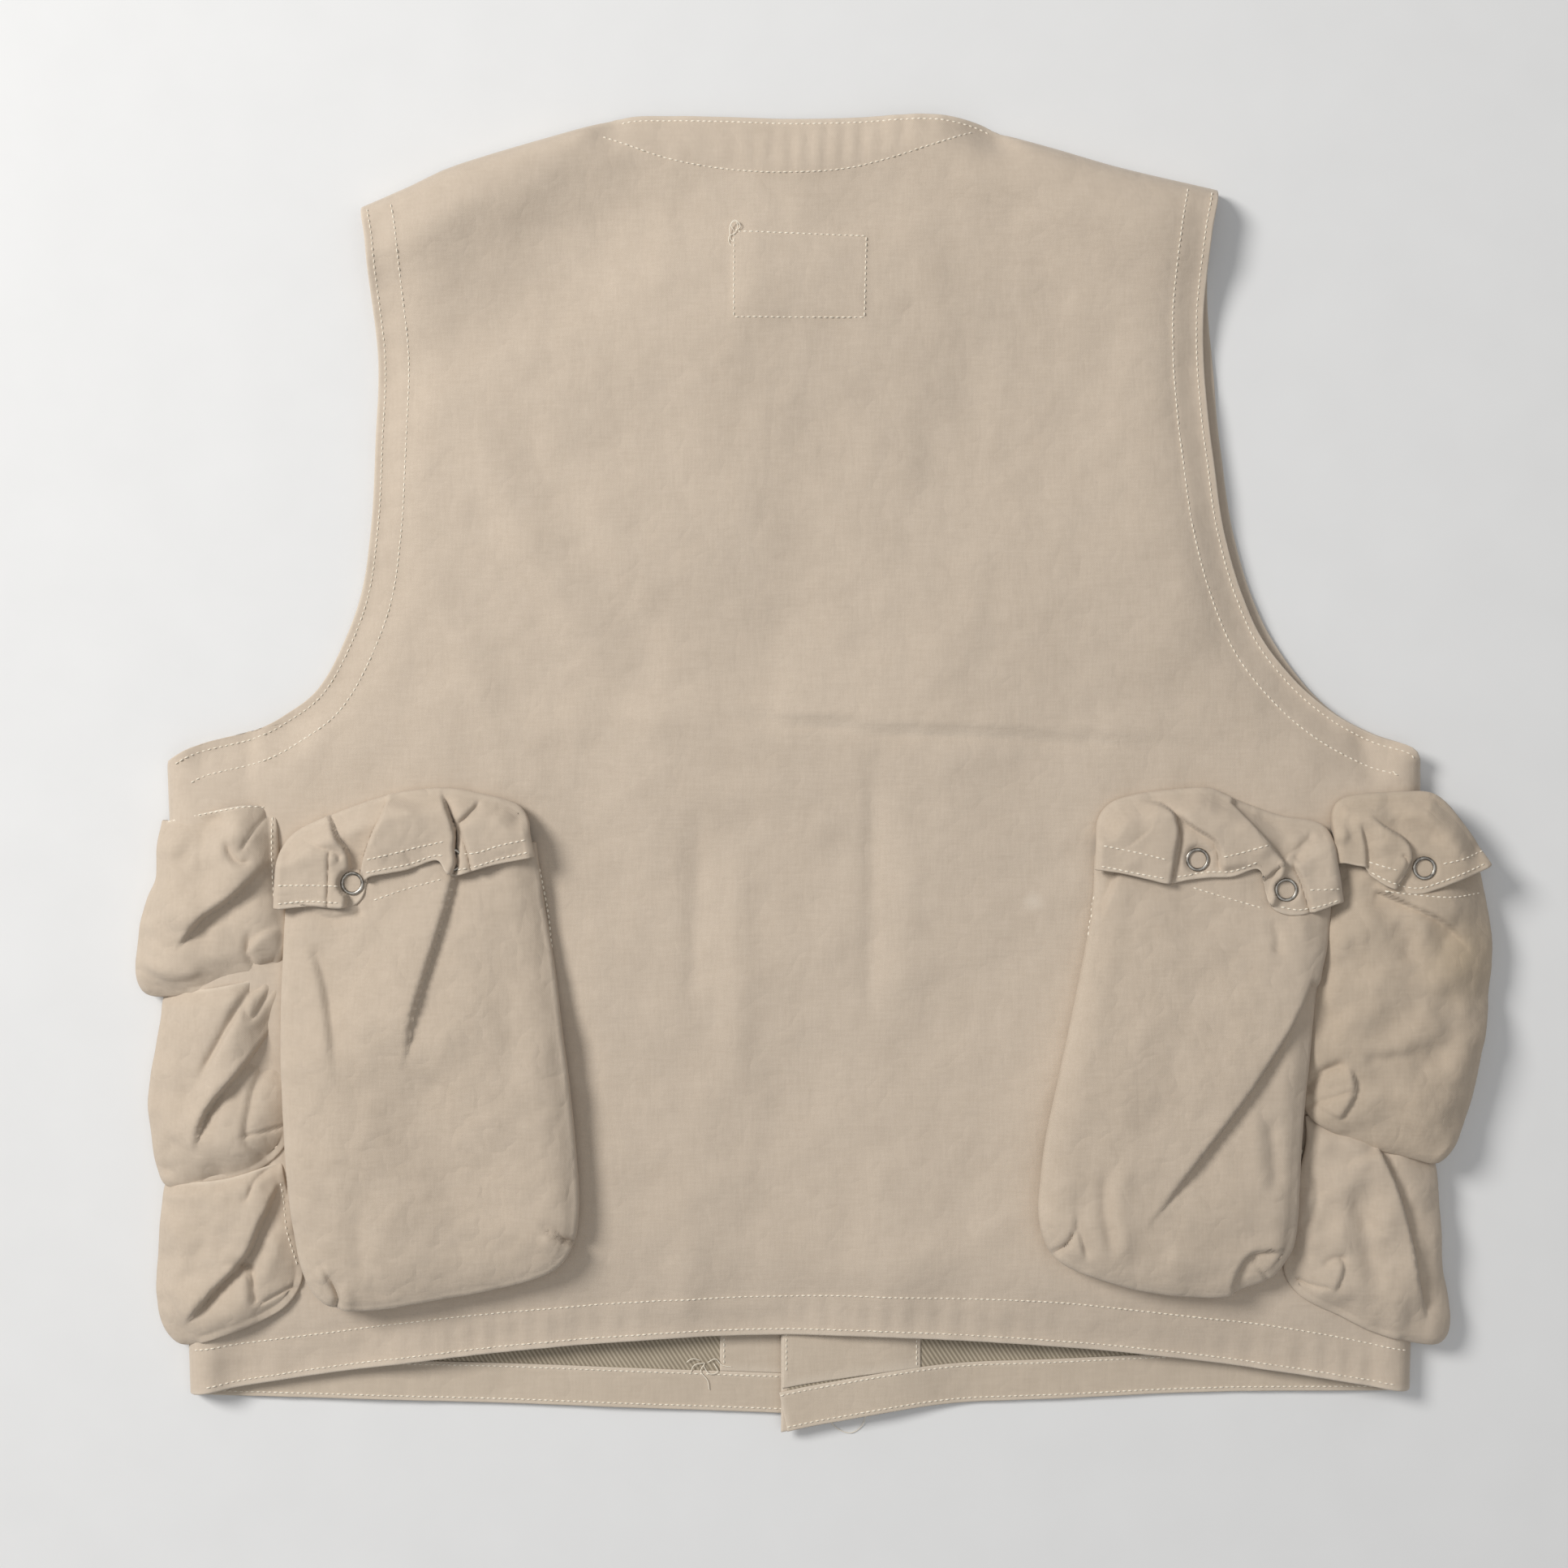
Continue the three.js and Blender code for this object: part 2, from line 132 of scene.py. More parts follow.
def joined(first, *others):
    """Lines that meet end to end, as one."""
    return np.vstack([first, *(line[1:] for line in others)])


def smoothed(line, reach):
    """A line whose points are the running mean over reach neighbours each way; its ends stay."""
    size = 2 * reach + 1
    padded = np.vstack([np.repeat(line[:1], reach, 0), line, np.repeat(line[-1:], reach, 0)])
    mean = np.stack(
        [np.convolve(padded[:, k], np.ones(size) / size, "valid") for k in range(line.shape[1])], -1
    )
    mean[0], mean[-1] = line[0], line[-1]
    return mean


def left_of(line):
    """Unit vectors square to a line in plan, on the left of someone who walks it."""
    t = np.gradient(line[:, :2], axis=0)
    t /= np.linalg.norm(t, axis=1, keepdims=True) + 1e-9
    return np.stack([-t[:, 1], t[:, 0]], -1)


def beside(line, d):
    """The line moved by d to its left in plan."""
    return line + d * left_of(line)


def near(x, y, line):
    """Share along the line of the nearest point, and the distance to it, positive on the line's left."""
    p = np.stack([np.ravel(x), np.ravel(y)], -1)
    a, ab = line[:-1], np.diff(line, axis=0)
    size = np.linalg.norm(ab, axis=1)
    rx, ry = p[:, :1] - a[:, 0], p[:, 1:] - a[:, 1]
    t = np.clip((rx * ab[:, 0] + ry * ab[:, 1]) / (size**2 + 1e-12), 0, 1)
    away = (rx - t * ab[:, 0]) ** 2 + (ry - t * ab[:, 1]) ** 2
    j = away.argmin(1)
    k = np.arange(len(p))
    run = np.r_[0, np.cumsum(size)]
    side = np.sign(ab[j, 0] * ry[k, j] - ab[j, 1] * rx[k, j] + 1e-12)
    share = (run[j] + t[k, j] * size[j]) / run[-1]
    return share.reshape(np.shape(x)), (side * np.sqrt(away[k, j])).reshape(np.shape(x))


def faded(s, fade):
    """1 along a line, fading to 0 over these shares of it at its start and its end."""
    return step(0, fade[0] + 1e-6, s) * step(0, fade[1] + 1e-6, 1 - s)


def fold(x, y, points, high, wide, low=0.0, hollow=6.0, sharp=1.2, fade=(0.2, 0.3)):
    """A crease: the cloth rises to high at the line from its left over wide, drops within sharp, and lies low
    beyond."""
    s, d = near(x, y, curve(points, count=26))
    upper, lower = high * bell(np.maximum(d, 0), wide), -low * bell(np.minimum(d, 0), hollow)
    return faded(s, fade) * (lower + (upper - lower) * step(-sharp, sharp, d))


def ridge(x, y, points, high, wide, fade=(0.25, 0.25)):
    """A rounded ridge of that height along the line, or a groove where high is negative: high times a
    bell."""
    s, d = near(x, y, curve(points, count=22))
    return high * bell(d, wide) * faded(s, fade)


def relief(x, y, folds=(), ridges=()):
    """The sum of a piece's folds and ridges."""
    z = np.zeros(np.shape(x))
    for f in folds:
        z = z + fold(x, y, *f)
    for r in ridges:
        z = z + ridge(x, y, *r)
    return z


def ripples(x, y, seed, shortest, longest, slope, count=16):
    """Seeded sum of sine waves in all directions, each as high as its length times the slope."""
    dice = np.random.default_rng(seed)
    wave = np.exp(dice.uniform(np.log(shortest), np.log(longest), count))
    turn, phase = dice.uniform(0, np.pi, count), dice.uniform(0, 2 * np.pi, count)
    z = np.zeros(np.shape(x))
    for w, a, p in zip(wave, turn, phase):
        z = z + slope * w / (2 * np.pi) * np.sin((x * np.cos(a) + y * np.sin(a)) * 2 * np.pi / w + p)
    return z / np.sqrt(count / 2)


# ---------------------------------------------------------------- meshes
def mesh_object(name, points, faces, attributes=None):
    """An object at the origin whose mesh has these points, in millimetres, and faces."""
    data = bpy.data.meshes.new(name)
    data.vertices.add(len(points))
    data.vertices.foreach_set("co", (np.asarray(points, float) * MM).astype(np.float32).ravel())
    flat = np.ascontiguousarray(faces, dtype=np.int32)
    data.loops.add(flat.size)
    data.loops.foreach_set("vertex_index", flat.ravel())
    data.polygons.add(len(flat))
    data.polygons.foreach_set("loop_start", np.arange(len(flat), dtype=np.int32) * flat.shape[1])
    data.polygons.foreach_set("loop_total", np.full(len(flat), flat.shape[1], np.int32))
    data.update(calc_edges=True)
    data.polygons.foreach_set("use_smooth", np.full(len(flat), True))
    for key, values in (attributes or {}).items():
        data.attributes.new(key, "FLOAT", "POINT").data.foreach_set("value", np.asarray(values, np.float32))
    data.validate()
    piece = bpy.data.objects.new(name, data)
    bpy.context.scene.collection.objects.link(piece)
    return piece


def normals_of(points, faces):
    """Unit normals of the points: the sum of their faces' normals, which are the cross products of the
    diagonals."""
    square = np.cross(points[faces[:, 2]] - points[faces[:, 0]], points[faces[:, 3]] - points[faces[:, 1]])
    n = np.stack(
        [sum(np.bincount(faces[:, c], square[:, k], len(points)) for c in range(4)) for k in range(3)], -1
    )
    return n / (np.linalg.norm(n, axis=1, keepdims=True) + 1e-12)


def stations(length, cell, start=False, end=False):
    """Shares of a length in steps of about cell, with two finer ones at a free start or end."""
    s = np.linspace(0, 1, max(3, int(np.ceil(length / cell)) + 1))
    fine = np.array([0.35, 1.0]) / length
    return np.unique(np.concatenate([s, fine if start else [0], 1 - fine if end else [1]]))


def patch(bottom, top, left, right, u, v):
    """Coons patch: the mean of the lines across and along, less the blend of the four corners.
    bottom and top run from left to right, left and right from bottom to top."""
    b, t, l, r = at(bottom, u)[None], at(top, u)[None], at(left, v)[:, None], at(right, v)[:, None]
    u, v = u[None, :, None], v[:, None, None]
    corners = (1 - u) * (1 - v) * b[:, :1] + u * (1 - v) * b[:, -1:] + (1 - u) * v * t[:, :1] + u * v * t[
        :, -1:
    ]
    return (1 - v) * b + v * t + (1 - u) * l + u * r - corners


def grid_faces(rows, columns):
    """Faces of a grid of points, counted row by row, that look up where columns run to +X and rows to +Y."""
    i = np.arange(rows * columns).reshape(rows, columns)
    return np.stack([i[:-1, :-1], i[:-1, 1:], i[1:, 1:], i[1:, :-1]], -1).reshape(-1, 4)


class Cloth:
    """One piece of cloth: its middle surface, thickened both ways, and closed round its free edges by letting
    the thickness run out there as a half circle."""

    def __init__(self, name, points, faces, thick, free, wear=None):
        """free is each point's distance from a free edge. The points on the free edges are shared by both
        faces."""
        edges = np.sort(
            np.concatenate([faces[:, [0, 1]], faces[:, [1, 2]], faces[:, [2, 3]], faces[:, [3, 0]]]), 1
        )
        pairs, uses = np.unique(edges, axis=0, return_counts=True)
        rim = np.zeros(len(points), bool)
        rim[pairs[uses == 1].ravel()] = True
        half = thick / 2 * np.sqrt(np.clip(1 - (1 - np.clip(free / 0.9, 0, 1)) ** 2, 0, 1))
        half = np.where(rim, 0, np.maximum(half, 0.12 * thick))[:, None]
        n = normals_of(points, faces)
        under = np.arange(len(points))
        under[~rim] = len(points) + np.arange((~rim).sum())
        both = np.vstack([points + n * half, (points - n * half)[~rim]])
        wear = np.zeros(len(points)) if wear is None else wear
        self.top, self.normal = points + n * half, n
        self.faces = faces
        self.piece = mesh_object(
            name, both, np.vstack([faces, under[faces][:, ::-1]]), {"wear": np.r_[wear, wear[~rim]]}
        )

    def lay(self, xy):
        """Heights and normals of the upper face at places in plan, from the plane at the nearest point."""
        groups = np.array_split(xy, max(1, len(xy) // 60))
        away = (((part[:, None] - self.top[None, :, :2]) ** 2).sum(-1) for part in groups)
        j = np.concatenate([distance.argmin(1) for distance in away])
        p, n = self.top[j], self.normal[j].copy()
        n[:, 2] = np.maximum(n[:, 2], 0.35)
        n /= np.linalg.norm(n, axis=1, keepdims=True)
        z = p[:, 2] - ((xy - p[:, :2]) * n[:, :2]).sum(1) / n[:, 2]
        return z, n


def panel(name, left, right, bottom, top, height, thick, cell, wear=None):
    """A sheet with four sides in plan, lifted to height(x, y)."""
    wide = lengths(bottom)[-1], lengths(left)[-1]
    u, v = stations(wide[0], cell[0], True, True), stations(wide[1], cell[1], True, True)
    p = patch(bottom, top, left, right, u, v)
    x, y = p[..., 0], p[..., 1]
    across, along = np.minimum(u, 1 - u)[None, :] * wide[0], np.minimum(v, 1 - v)[:, None] * wide[1]
    free = np.minimum(across, along)
    points = np.stack([x, y, height(x, y)], -1).reshape(-1, 3)
    worn = bell(free, 1.6) if wear is None else wear(x, y, free)
    return Cloth(name, points, grid_faces(len(v), len(u)), thick, free.ravel(), worn.ravel())


WALL_ANGLES = (16, 32, 48, 62, 76, 90)  # rows of the quarter circle, in degrees
WALL_SHARES = (0.2, 0.45, 0.7, 0.93, 1.0)  # rows of the drop below it
WALL_WEAR = (0.1, 0.16, 0.2, 0.16, 0.1, 0, 0, 0, 0, 0, 0)  # paleness of each of those rows


def bag(
    name, rim, corners, mouth, height, base, thick=POCKET_CLOTH, turn=4.5, lean=1.5, cell=1.3, piping=0.0,
    blunt=3, lean_in=0.5
):
    """A face with a wall round three of its sides. rim is the outermost line in plan, from one end of the
    mouth round to the other with the bag on its left. The face fills a Coons patch whose three sides lie turn
    inside the rim. The wall turns over from the face by a quarter circle, then drops to base(x, y) and leans
    in. height takes the place in plan and the shares across and up from the rim's middle side. cut is the
    flat piece it takes: the face's longest way across and up with the walls folded out, and its share of that
    rectangle with two corners cut away."""
    outer = curve(rim)
    inner = sampled(smoothed(beside(outer, turn), blunt), len(outer))
    a, b = (int(((inner - np.array(c)) ** 2).sum(1).argmin()) for c in corners)
    left, bottom, right = inner[: a + 1][::-1], inner[a : b + 1], inner[b:]
    top = curve(mouth)
    s = np.linspace(0, 1, len(top))[:, None]
    top = top + (1 - s) * (left[-1] - top[0]) + s * (right[-1] - top[-1])
    across = max(lengths(bottom)[-1], lengths(top)[-1])
    along = max(lengths(left)[-1], lengths(right)[-1])
    u, v = stations(across, cell), stations(along, cell, end=True)
    p = patch(bottom, top, left, right, u, v)
    x, y = p[..., 0], p[..., 1]
    z = height(x, y, u[None, :] + 0 * x, v[:, None] + 0 * x)
    face = np.stack([x, y, z], -1).reshape(-1, 3)
    i = np.arange(len(face)).reshape(len(v), len(u))
    loop = np.concatenate([i[::-1, 0], i[0, 1:], i[1:, -1]])
    start = face[loop]
    out = -left_of(smoothed(start[:, :2], 2))
    foot = start[:, :2] + out * (turn - lean)
    ground = base(foot[:, 0], foot[:, 1])
    deep = np.maximum(start[:, 2] - ground, 0.5)
    curl = np.minimum(turn, 0.65 * deep)
    rows = []
    slope = np.minimum(lean_in * turn, 0.3 * deep)
    for angle in np.radians(WALL_ANGLES):
        swell = piping * np.exp(-((np.degrees(angle) - 48) / 14) ** 2)
        place = start[:, :2] + out * (turn * np.sin(angle) + swell)
        fall = slope * np.sin(angle) + (curl - slope) * (1 - np.cos(angle))
        rows.append(np.column_stack([place, start[:, 2] - fall + 0.5 * swell]))
    for share in WALL_SHARES:
        place = start[:, :2] + out * (turn - lean * share**1.5)
        rows.append(np.column_stack([place, start[:, 2] - curl - (deep - curl) * share]))
    wall = np.concatenate(rows)
    n = len(loop)
    j = np.vstack([loop, len(face) + np.arange(len(wall)).reshape(-1, n)])
    walls = np.stack([j[:-1, :-1], j[1:, :-1], j[1:, 1:], j[:-1, 1:]], -1).reshape(-1, 4)
    to_mouth = (1 - v)[:, None] * along + 0 * x
    ends = np.minimum(lengths(start), lengths(start)[-1] - lengths(start))
    down = np.repeat([5.0] * (len(rows) - 2) + [0.6, 0.0], n)
    free = np.r_[to_mouth.ravel(), np.minimum(np.tile(ends, len(rows)), down)]
    wear = np.r_[bell(to_mouth, 1.5).ravel(), np.repeat(WALL_WEAR, n)]
    cloth = Cloth(
        name, np.vstack([face, wall]), np.vstack([grid_faces(len(v), len(u)), walls]), thick, free, wear
    )
    p, drop = face.reshape(len(v), len(u), 3), deep + turn
    sides = (drop[len(v) // 2], drop[len(v) + len(u) // 2], drop[-len(v) // 2])
    wide = np.linalg.norm(np.diff(p, axis=1), axis=2).sum(1).max() + sides[0] + sides[2]
    long = np.linalg.norm(np.diff(p, axis=0), axis=2).sum(0).max() + sides[1]
    cloth.cut = (wide, long, 1 - (sides[0] + sides[2]) * sides[1] / (wide * long))
    return cloth


# ---------------------------------------------------------------- outlines
LEFT_SIDE = curve([(-294, -293), (-297, -200), (-300, -100), (-304, -20), (-305, 5)])
RIGHT_SIDE = curve([(282, -291), (284, -200), (286, -100), (287, -20), (287, 4)])
LEFT_ARMHOLE = curve([
    (-305, 5), (-290, 13), (-263, 20), (-248, 28), (-234, 39), (-223, 58), (-213, 85), (-208, 119),
    (-206, 157),
    (-205, 195), (-208, 229), (-210, 252), (-213, 267),
])
RIGHT_ARMHOLE = curve([
    (287, 4), (282, 12), (265, 18), (246, 28), (228, 43), (212, 63), (201, 88), (193, 118), (189, 146),
    (186, 172),
    (184, 210), (185, 235), (187, 255), (191, 275),
])
LEFT_SHOULDER = curve([(-213, 267), (-190, 277), (-168, 287), (-118, 302), (-94, 308)])
RIGHT_SHOULDER = curve([(87, 302), (113, 295), (144, 286), (178, 278), (191, 275)])
NECK = curve([(-94, 308), (-80, 310), (-46, 309.6), (0, 308), (37, 309), (57, 309), (77, 306), (87, 302)])
TOP = joined(LEFT_SHOULDER, NECK, RIGHT_SHOULDER)
LEFT_EDGE, RIGHT_EDGE = joined(LEFT_SIDE, LEFT_ARMHOLE), joined(RIGHT_SIDE, RIGHT_ARMHOLE)
hem_x = np.linspace(-294, 282, 240)
hem_sag = 28.5 * np.abs((hem_x + 5) / 289) ** 1.8
hem_lean = np.where(hem_x > 0, 1.0, -0.5) * np.abs(hem_x / 290) ** 2
HEM = np.stack([hem_x, -264 - hem_sag + hem_lean], -1)
HEM[0], HEM[-1] = LEFT_SIDE[0], RIGHT_SIDE[0]
YOKE_SEAM = [(-99, 299), (-69, 289), (-16, 282), (18, 284), (56, 294), (75, 301)]
BACK_TOP = 16.1  # middle of the back's cloth where it lies flat
SEAM_DROP = 14.3  # how far it comes down to the fronts at the side and shoulder seams
SIDE_ROLL, SHOULDER_ROLL = 15, 10  # how far inside those seams it starts to come down


def from_line(x, y, line, count=46):
    """Distance in plan from a line."""
    return np.abs(near(x, y, sampled(line, count))[1])


def from_lines(x, y, lines, count=46):
    """Distance in plan from the nearest of some lines."""
    return np.min([from_line(x, y, line, count) for line in lines], axis=0)


def back_height(x, y):
    """Middle of the back's cloth: flat, rolled down over the side seams and shoulders, sagging at its free
    edges, with a padded ridge and a hollow along each shoulder seam, thicker bands at the seams, and its
    creases."""
    side = from_lines(x, y, (LEFT_SIDE, RIGHT_SIDE), 12)
    arm = from_lines(x, y, (LEFT_ARMHOLE, RIGHT_ARMHOLE))
    shoulder = from_lines(x, y, (LEFT_SHOULDER, RIGHT_SHOULDER), 16)
    neck, hem = from_line(x, y, NECK, 20), from_line(x, y, HEM, 40)
    inner = step(60, 130, np.abs(x + 9))
    at_neck = (4.5 + 5.0 * bell(shoulder, 20)) * bell(neck, 13)
    z = BACK_TOP - SEAM_DROP * roll(side, SIDE_ROLL)
    z = z - np.maximum(SEAM_DROP * roll(shoulder, SHOULDER_ROLL), at_neck)
    z = z - 6.5 * bell(arm, 17) * step(0, 24, shoulder) * step(0, 20, side)
    z = z - 6.0 * bell(hem, 24) * step(0, 24, side)
    z = z + inner * (5.0 * bell(shoulder - 23, 15) - 5.4 * bell(shoulder - 76, 30))
    z = z + (1 - inner) * (1.0 * bell(neck - 14, 12) - 1.4 * bell(neck - 46, 18))
    bands = 0.55 * (1 - step(14, 16.5, arm)) + 0.55 * (1 - step(17, 19.5, hem))
    bands = bands + 0.5 * (1 - step(2, 5, np.minimum(arm, hem)))
    z = z + bands * step(0, 12, np.minimum(side, shoulder))
    run = near(x, y, sampled(LEFT_ARMHOLE, 40))[0] * 330  # the armhole is about 330 long
    pucker = np.sin(x * 2 * np.pi / 10.5 + 1.5 * np.sin(x / 23)) * (0.6 + 0.4 * np.sin(x / 31))
    z = z + 0.42 * pucker * bell(hem - 10, 9)
    z = z + 0.26 * np.sin(run * 2 * np.pi / 12 + 2 * np.sin(run / 17)) * bell(arm - 9, 7)
    yoke = near(x, y, curve(YOKE_SEAM, count=24))[1]
    inside = step(-1.5, 1.0, yoke) * step(60, 90, 150 - np.abs(x + 12))
    gather = np.sin(x * 2 * np.pi / 9.5 + 2.2 * np.sin(x / 19)) * (0.55 + 0.45 * np.sin(x / 26 + 1))
    z = z + 0.6 * inside + 0.42 * gather * inside * bell(yoke - 11, 10)
    label = step(-38.5, -36, x) * step(-26, -23.5, -x) * step(211.5, 214, y) * step(-255.5, -253, -y)
    z = z + 0.6 * label + relief(x, y, BACK_FOLDS, BACK_RIDGES)
    calm = step(0, 30, np.minimum(side, shoulder))
    wide, middle = ripples(x, y, 11, 90, 320, 0.060), ripples(x, y, 12, 26, 80, 0.040)
    return z + calm * (wide + middle + ripples(x, y, 13, 9, 24, 0.030, 26))


BACK_FOLDS = [
    ([(-45, 29), (0, 25), (45, 21), (113, 18), (200, 14)], 1.4, 9, 1.3, 6, 1.0, (0.12, 0.3)),
    ([(-255, 40), (-262, 12), (-262, -12)], 0.8, 10, 0.6, 7, 2.0),
]
BACK_RIDGES = [
    ([(-54, -10), (-55, -60), (-57, -120)], -1.4, 5), ([(-33, -20), (-35, -70), (-38, -150)], 1.6, 8),
    ([(27, 10), (28, -40), (26, -125)], -1.2, 4), ([(40, 4), (43, -50), (45, -130)], 0.9, 8),
    ([(-165, 165), (-130, 100), (-88, 30)], 1.4, 9), ([(-142, 175), (-110, 110), (-66, 44)], -1.3, 9),
    ([(-190, 120), (-165, 60), (-140, 5)], 1.1, 9), ([(-120, 60), (-80, 15), (-30, -10)], -1.0, 8),
    ([(-150, 18), (-60, 26), (0, 18)], 1.0, 10), ([(60, 70), (120, 40), (200, 30)], -0.8, 12),
    ([(-125, -25), (-105, -70), (-98, -140)], 1.0, 12), ([(-60, -180), (-58, -225), (-62, -262)], 1.1, 9),
    ([(20, -180), (18, -230), (22, -262)], -1.0, 9), ([(-270, 18), (-240, 8), (-225, 30)], 1.4, 6),
    ([(255, 22), (262, 5), (262, -10)], -1.3, 5), ([(100, -200), (60, -225), (0, -235)], 1.0, 12),
    ([(-30, 270), (-26, 240), (-30, 205)], 0.8, 8), ([(60, 290), (66, 250), (60, 200)], -0.6, 12),
]


def floor_or_back(x, y):
    """What a pocket's wall stands on: the back's upper face, or just above the floor outside the side
    seams."""
    left, right = (near(x, y, sampled(seam, 12))[1] for seam in (LEFT_SIDE, RIGHT_SIDE))
    inside = step(2, 9, -left) * step(2, 9, right)
    side = np.minimum(np.abs(left), np.abs(right))
    return 1.2 + inside * (BACK_TOP - 0.6 - 13.2 * roll(side, SIDE_ROLL) - 0.4)


# ---------------------------------------------------------------- materials
class Value:
    """A socket that arithmetic works on: each operator adds a Math node."""

    def __init__(self, recipe, socket):
        self.recipe, self.socket = recipe, socket

    def made(self, operation, *inputs):
        return self.recipe.node("ShaderNodeMath", {"operation": operation}, dict(enumerate(inputs)))

    def __add__(self, other):
        return self.made("ADD", self, other)

    def __radd__(self, other):
        return self.made("ADD", other, self)

    def __sub__(self, other):
        return self.made("SUBTRACT", self, other)

    def __rsub__(self, other):
        return self.made("SUBTRACT", other, self)

    def __mul__(self, other):
        return self.made("MULTIPLY", self, other)

    def __rmul__(self, other):
        return self.made("MULTIPLY", other, self)

    def __truediv__(self, other):
        return self.made("DIVIDE", self, other)

    def __rtruediv__(self, other):
        return self.made("DIVIDE", other, self)

    def __pow__(self, other):
        return self.made("POWER", self, other)

    def sine(self):
        return self.made("SINE", self)

    def size(self):
        return self.made("ABSOLUTE", self)

    def held(self):
        """Kept between 0 and 1."""
        return self.made("MINIMUM", self.made("MAXIMUM", self, 0.0), 1.0)

    def between(self, low, high):
        """0 up to low and 1 from high, in a straight line between them."""
        return ((self - low) / (high - low)).held()


class Recipe:
    """A node material. node() adds any node: its type, its settings, then what its sockets hold."""

    def __init__(self, name, **shader):
        self.material = bpy.data.materials.new(name)
        self.material.use_nodes = True
        self.tree = self.material.node_tree
        self.shader = self.tree.nodes["Principled BSDF"]
        for key, value in shader.items():
            self.shader.inputs[key.replace("_", " ").title().replace("Ior", "IOR")].default_value = value

    def node(self, kind, settings=None, inputs=None, output=0):
        made = self.tree.nodes.new(kind)
        for key, value in (settings or {}).items():
            setattr(made, key, value)
        for key, value in (inputs or {}).items():
            self.put(made.inputs[key], value)
        return Value(self, made.outputs[output])

    def put(self, socket, value):
        if isinstance(value, Value):
            self.tree.links.new(value.socket, socket)
        elif isinstance(value, (tuple, list)) and len(value) == 3 and socket.type == "RGBA":
            socket.default_value = (*value, 1)
        else:
            socket.default_value = value

    def place(self):
        return self.node("ShaderNodeTexCoord", output="Object")

    def plan(self, place):
        """x and y of a place."""
        outputs = self.node("ShaderNodeSeparateXYZ", inputs={0: place}).socket.node.outputs
        return Value(self, outputs[0]), Value(self, outputs[1])

    def noise(self, vector, scale, detail=2.0, stretch=None):
        if stretch:
            vector = self.node("ShaderNodeMapping", inputs={"Vector": vector, "Scale": stretch})
        inputs = {"Vector": vector, "Scale": scale, "Detail": detail}
        return self.node("ShaderNodeTexNoise", inputs=inputs)

    def blend(self, share, first, second):
        return self.node("ShaderNodeMix", {"data_type": "RGBA"}, {0: share, 6: first, 7: second}, output=2)

    def bump(self, height, strength, distance, under=None):
        inputs = {"Strength": strength, "Distance": distance, "Height": height}
        return self.node("ShaderNodeBump", inputs=inputs | ({"Normal": under} if under else {}))

    def finish(self, colour=None, roughness=None, normal=None):
        for key, value in (("Base Color", colour), ("Roughness", roughness), ("Normal", normal)):
            if value is not None:
                self.put(self.shader.inputs[key], value)
        return self.material


def cotton(name, shade, dark, pale, weave=0.9, diagonal=1.0, bump=0.35, crumple=0.3, stain=None):
    """Brushed khaki cotton: fine diagonal ribs crossed by slubs, mottled over 5 to 50 mm, paler on worn
    edges."""
    r = Recipe(name, roughness=0.92, sheen_weight=0.12, sheen_roughness=0.6, specular_ior_level=0.25)
    place = r.place()
    x, y = r.plan(place)
    mottle = r.noise(place, 26, 3.0) * 0.55 + r.noise(place, 120, 3.0) * 0.45
    slub_across = r.noise(place, 260, 2.0, (0.35, 3.2, 3.2))
    slub_along = r.noise(place, 260, 2.0, (3.2, 0.35, 3.2))
    grain = r.noise(place, 1500, 2.0)
    turned = (x * diagonal + y) * (2 * np.pi / (weave * MM)) + grain * 2.0
    ribs = turned.sine() * 0.5 + 0.5
    worn = r.node("ShaderNodeAttribute", {"attribute_name": "wear"}, output="Fac")
    fleck = (slub_across * 0.5 + slub_along * 0.5).between(0.36, 0.64)
    tone = (mottle.between(0.30, 0.70) * 0.34 + fleck * 0.26 + ribs * 0.12 + grain * 0.28).held()
    colour = r.blend(tone, dark, shade)
    colour = r.blend((worn * 0.55 * (grain * 0.8 + 0.5)).held(), colour, pale)
    if stain:
        sx, sy, size, tint, most = stain
        away = ((x - sx * MM) ** 2 + (y - sy * MM) ** 2) ** 0.5 / (size * MM)
        colour = r.blend((1 - away + (mottle - 0.5) * 0.9).held() * most, colour, tint)
    tiny = r.bump(ribs * 0.5 + fleck * 0.5 + grain * 0.45, bump, 0.00022)
    wide = (r.noise(place, 22, 1.0, (1.3, 0.8, 1)) - 0.5).size()
    small = (r.noise(place, 75, 1.5) - 0.5).size()
    creased = (wide * 9).held() * 0.6 + (small * 8).held() * 0.4
    normal = r.bump(creased, crumple, 0.0009, tiny)
    return r.finish(colour, 0.86 + grain * 0.10, normal)


def coarse_twill(name, shade, dark):
    """The fronts' inside: coarse diagonal ribs 1.9 mm apart with dark grooves between them."""
    r = Recipe(name, roughness=0.95, specular_ior_level=0.2)
    place = r.place()
    x, y = r.plan(place)
    wander = r.noise(place, 60, 2.0)
    ribs = ((x * 0.95 + y * 0.62) * (2 * np.pi / (2.1 * MM)) + wander * 1.4).sine() * 0.5 + 0.5
    mottle = r.noise(place, 80, 3.0)
    colour = r.blend((ribs * 0.75 + mottle * 0.35).held(), dark, shade)
    return r.finish(colour, 0.9 + mottle * 0.08, r.bump(ribs, 0.6, 0.0004))


def thread(name, shade, dark):
    """Sewing thread: twisted plies seen as fine slanted stripes, its shade wandering along the seam."""
    r = Recipe(name, roughness=0.75, sheen_weight=0.2, specular_ior_level=0.35)
    place = r.place()
    x, y = r.plan(place)
    ply = ((x + y) * (2 * np.pi / (0.5 * MM))).sine() * 0.5 + 0.5
    colour = r.blend((ply * 0.35 + r.noise(place, 90, 2.0) * 0.7).held(), dark, shade)
    return r.finish(colour, 0.7 + ply * 0.15)


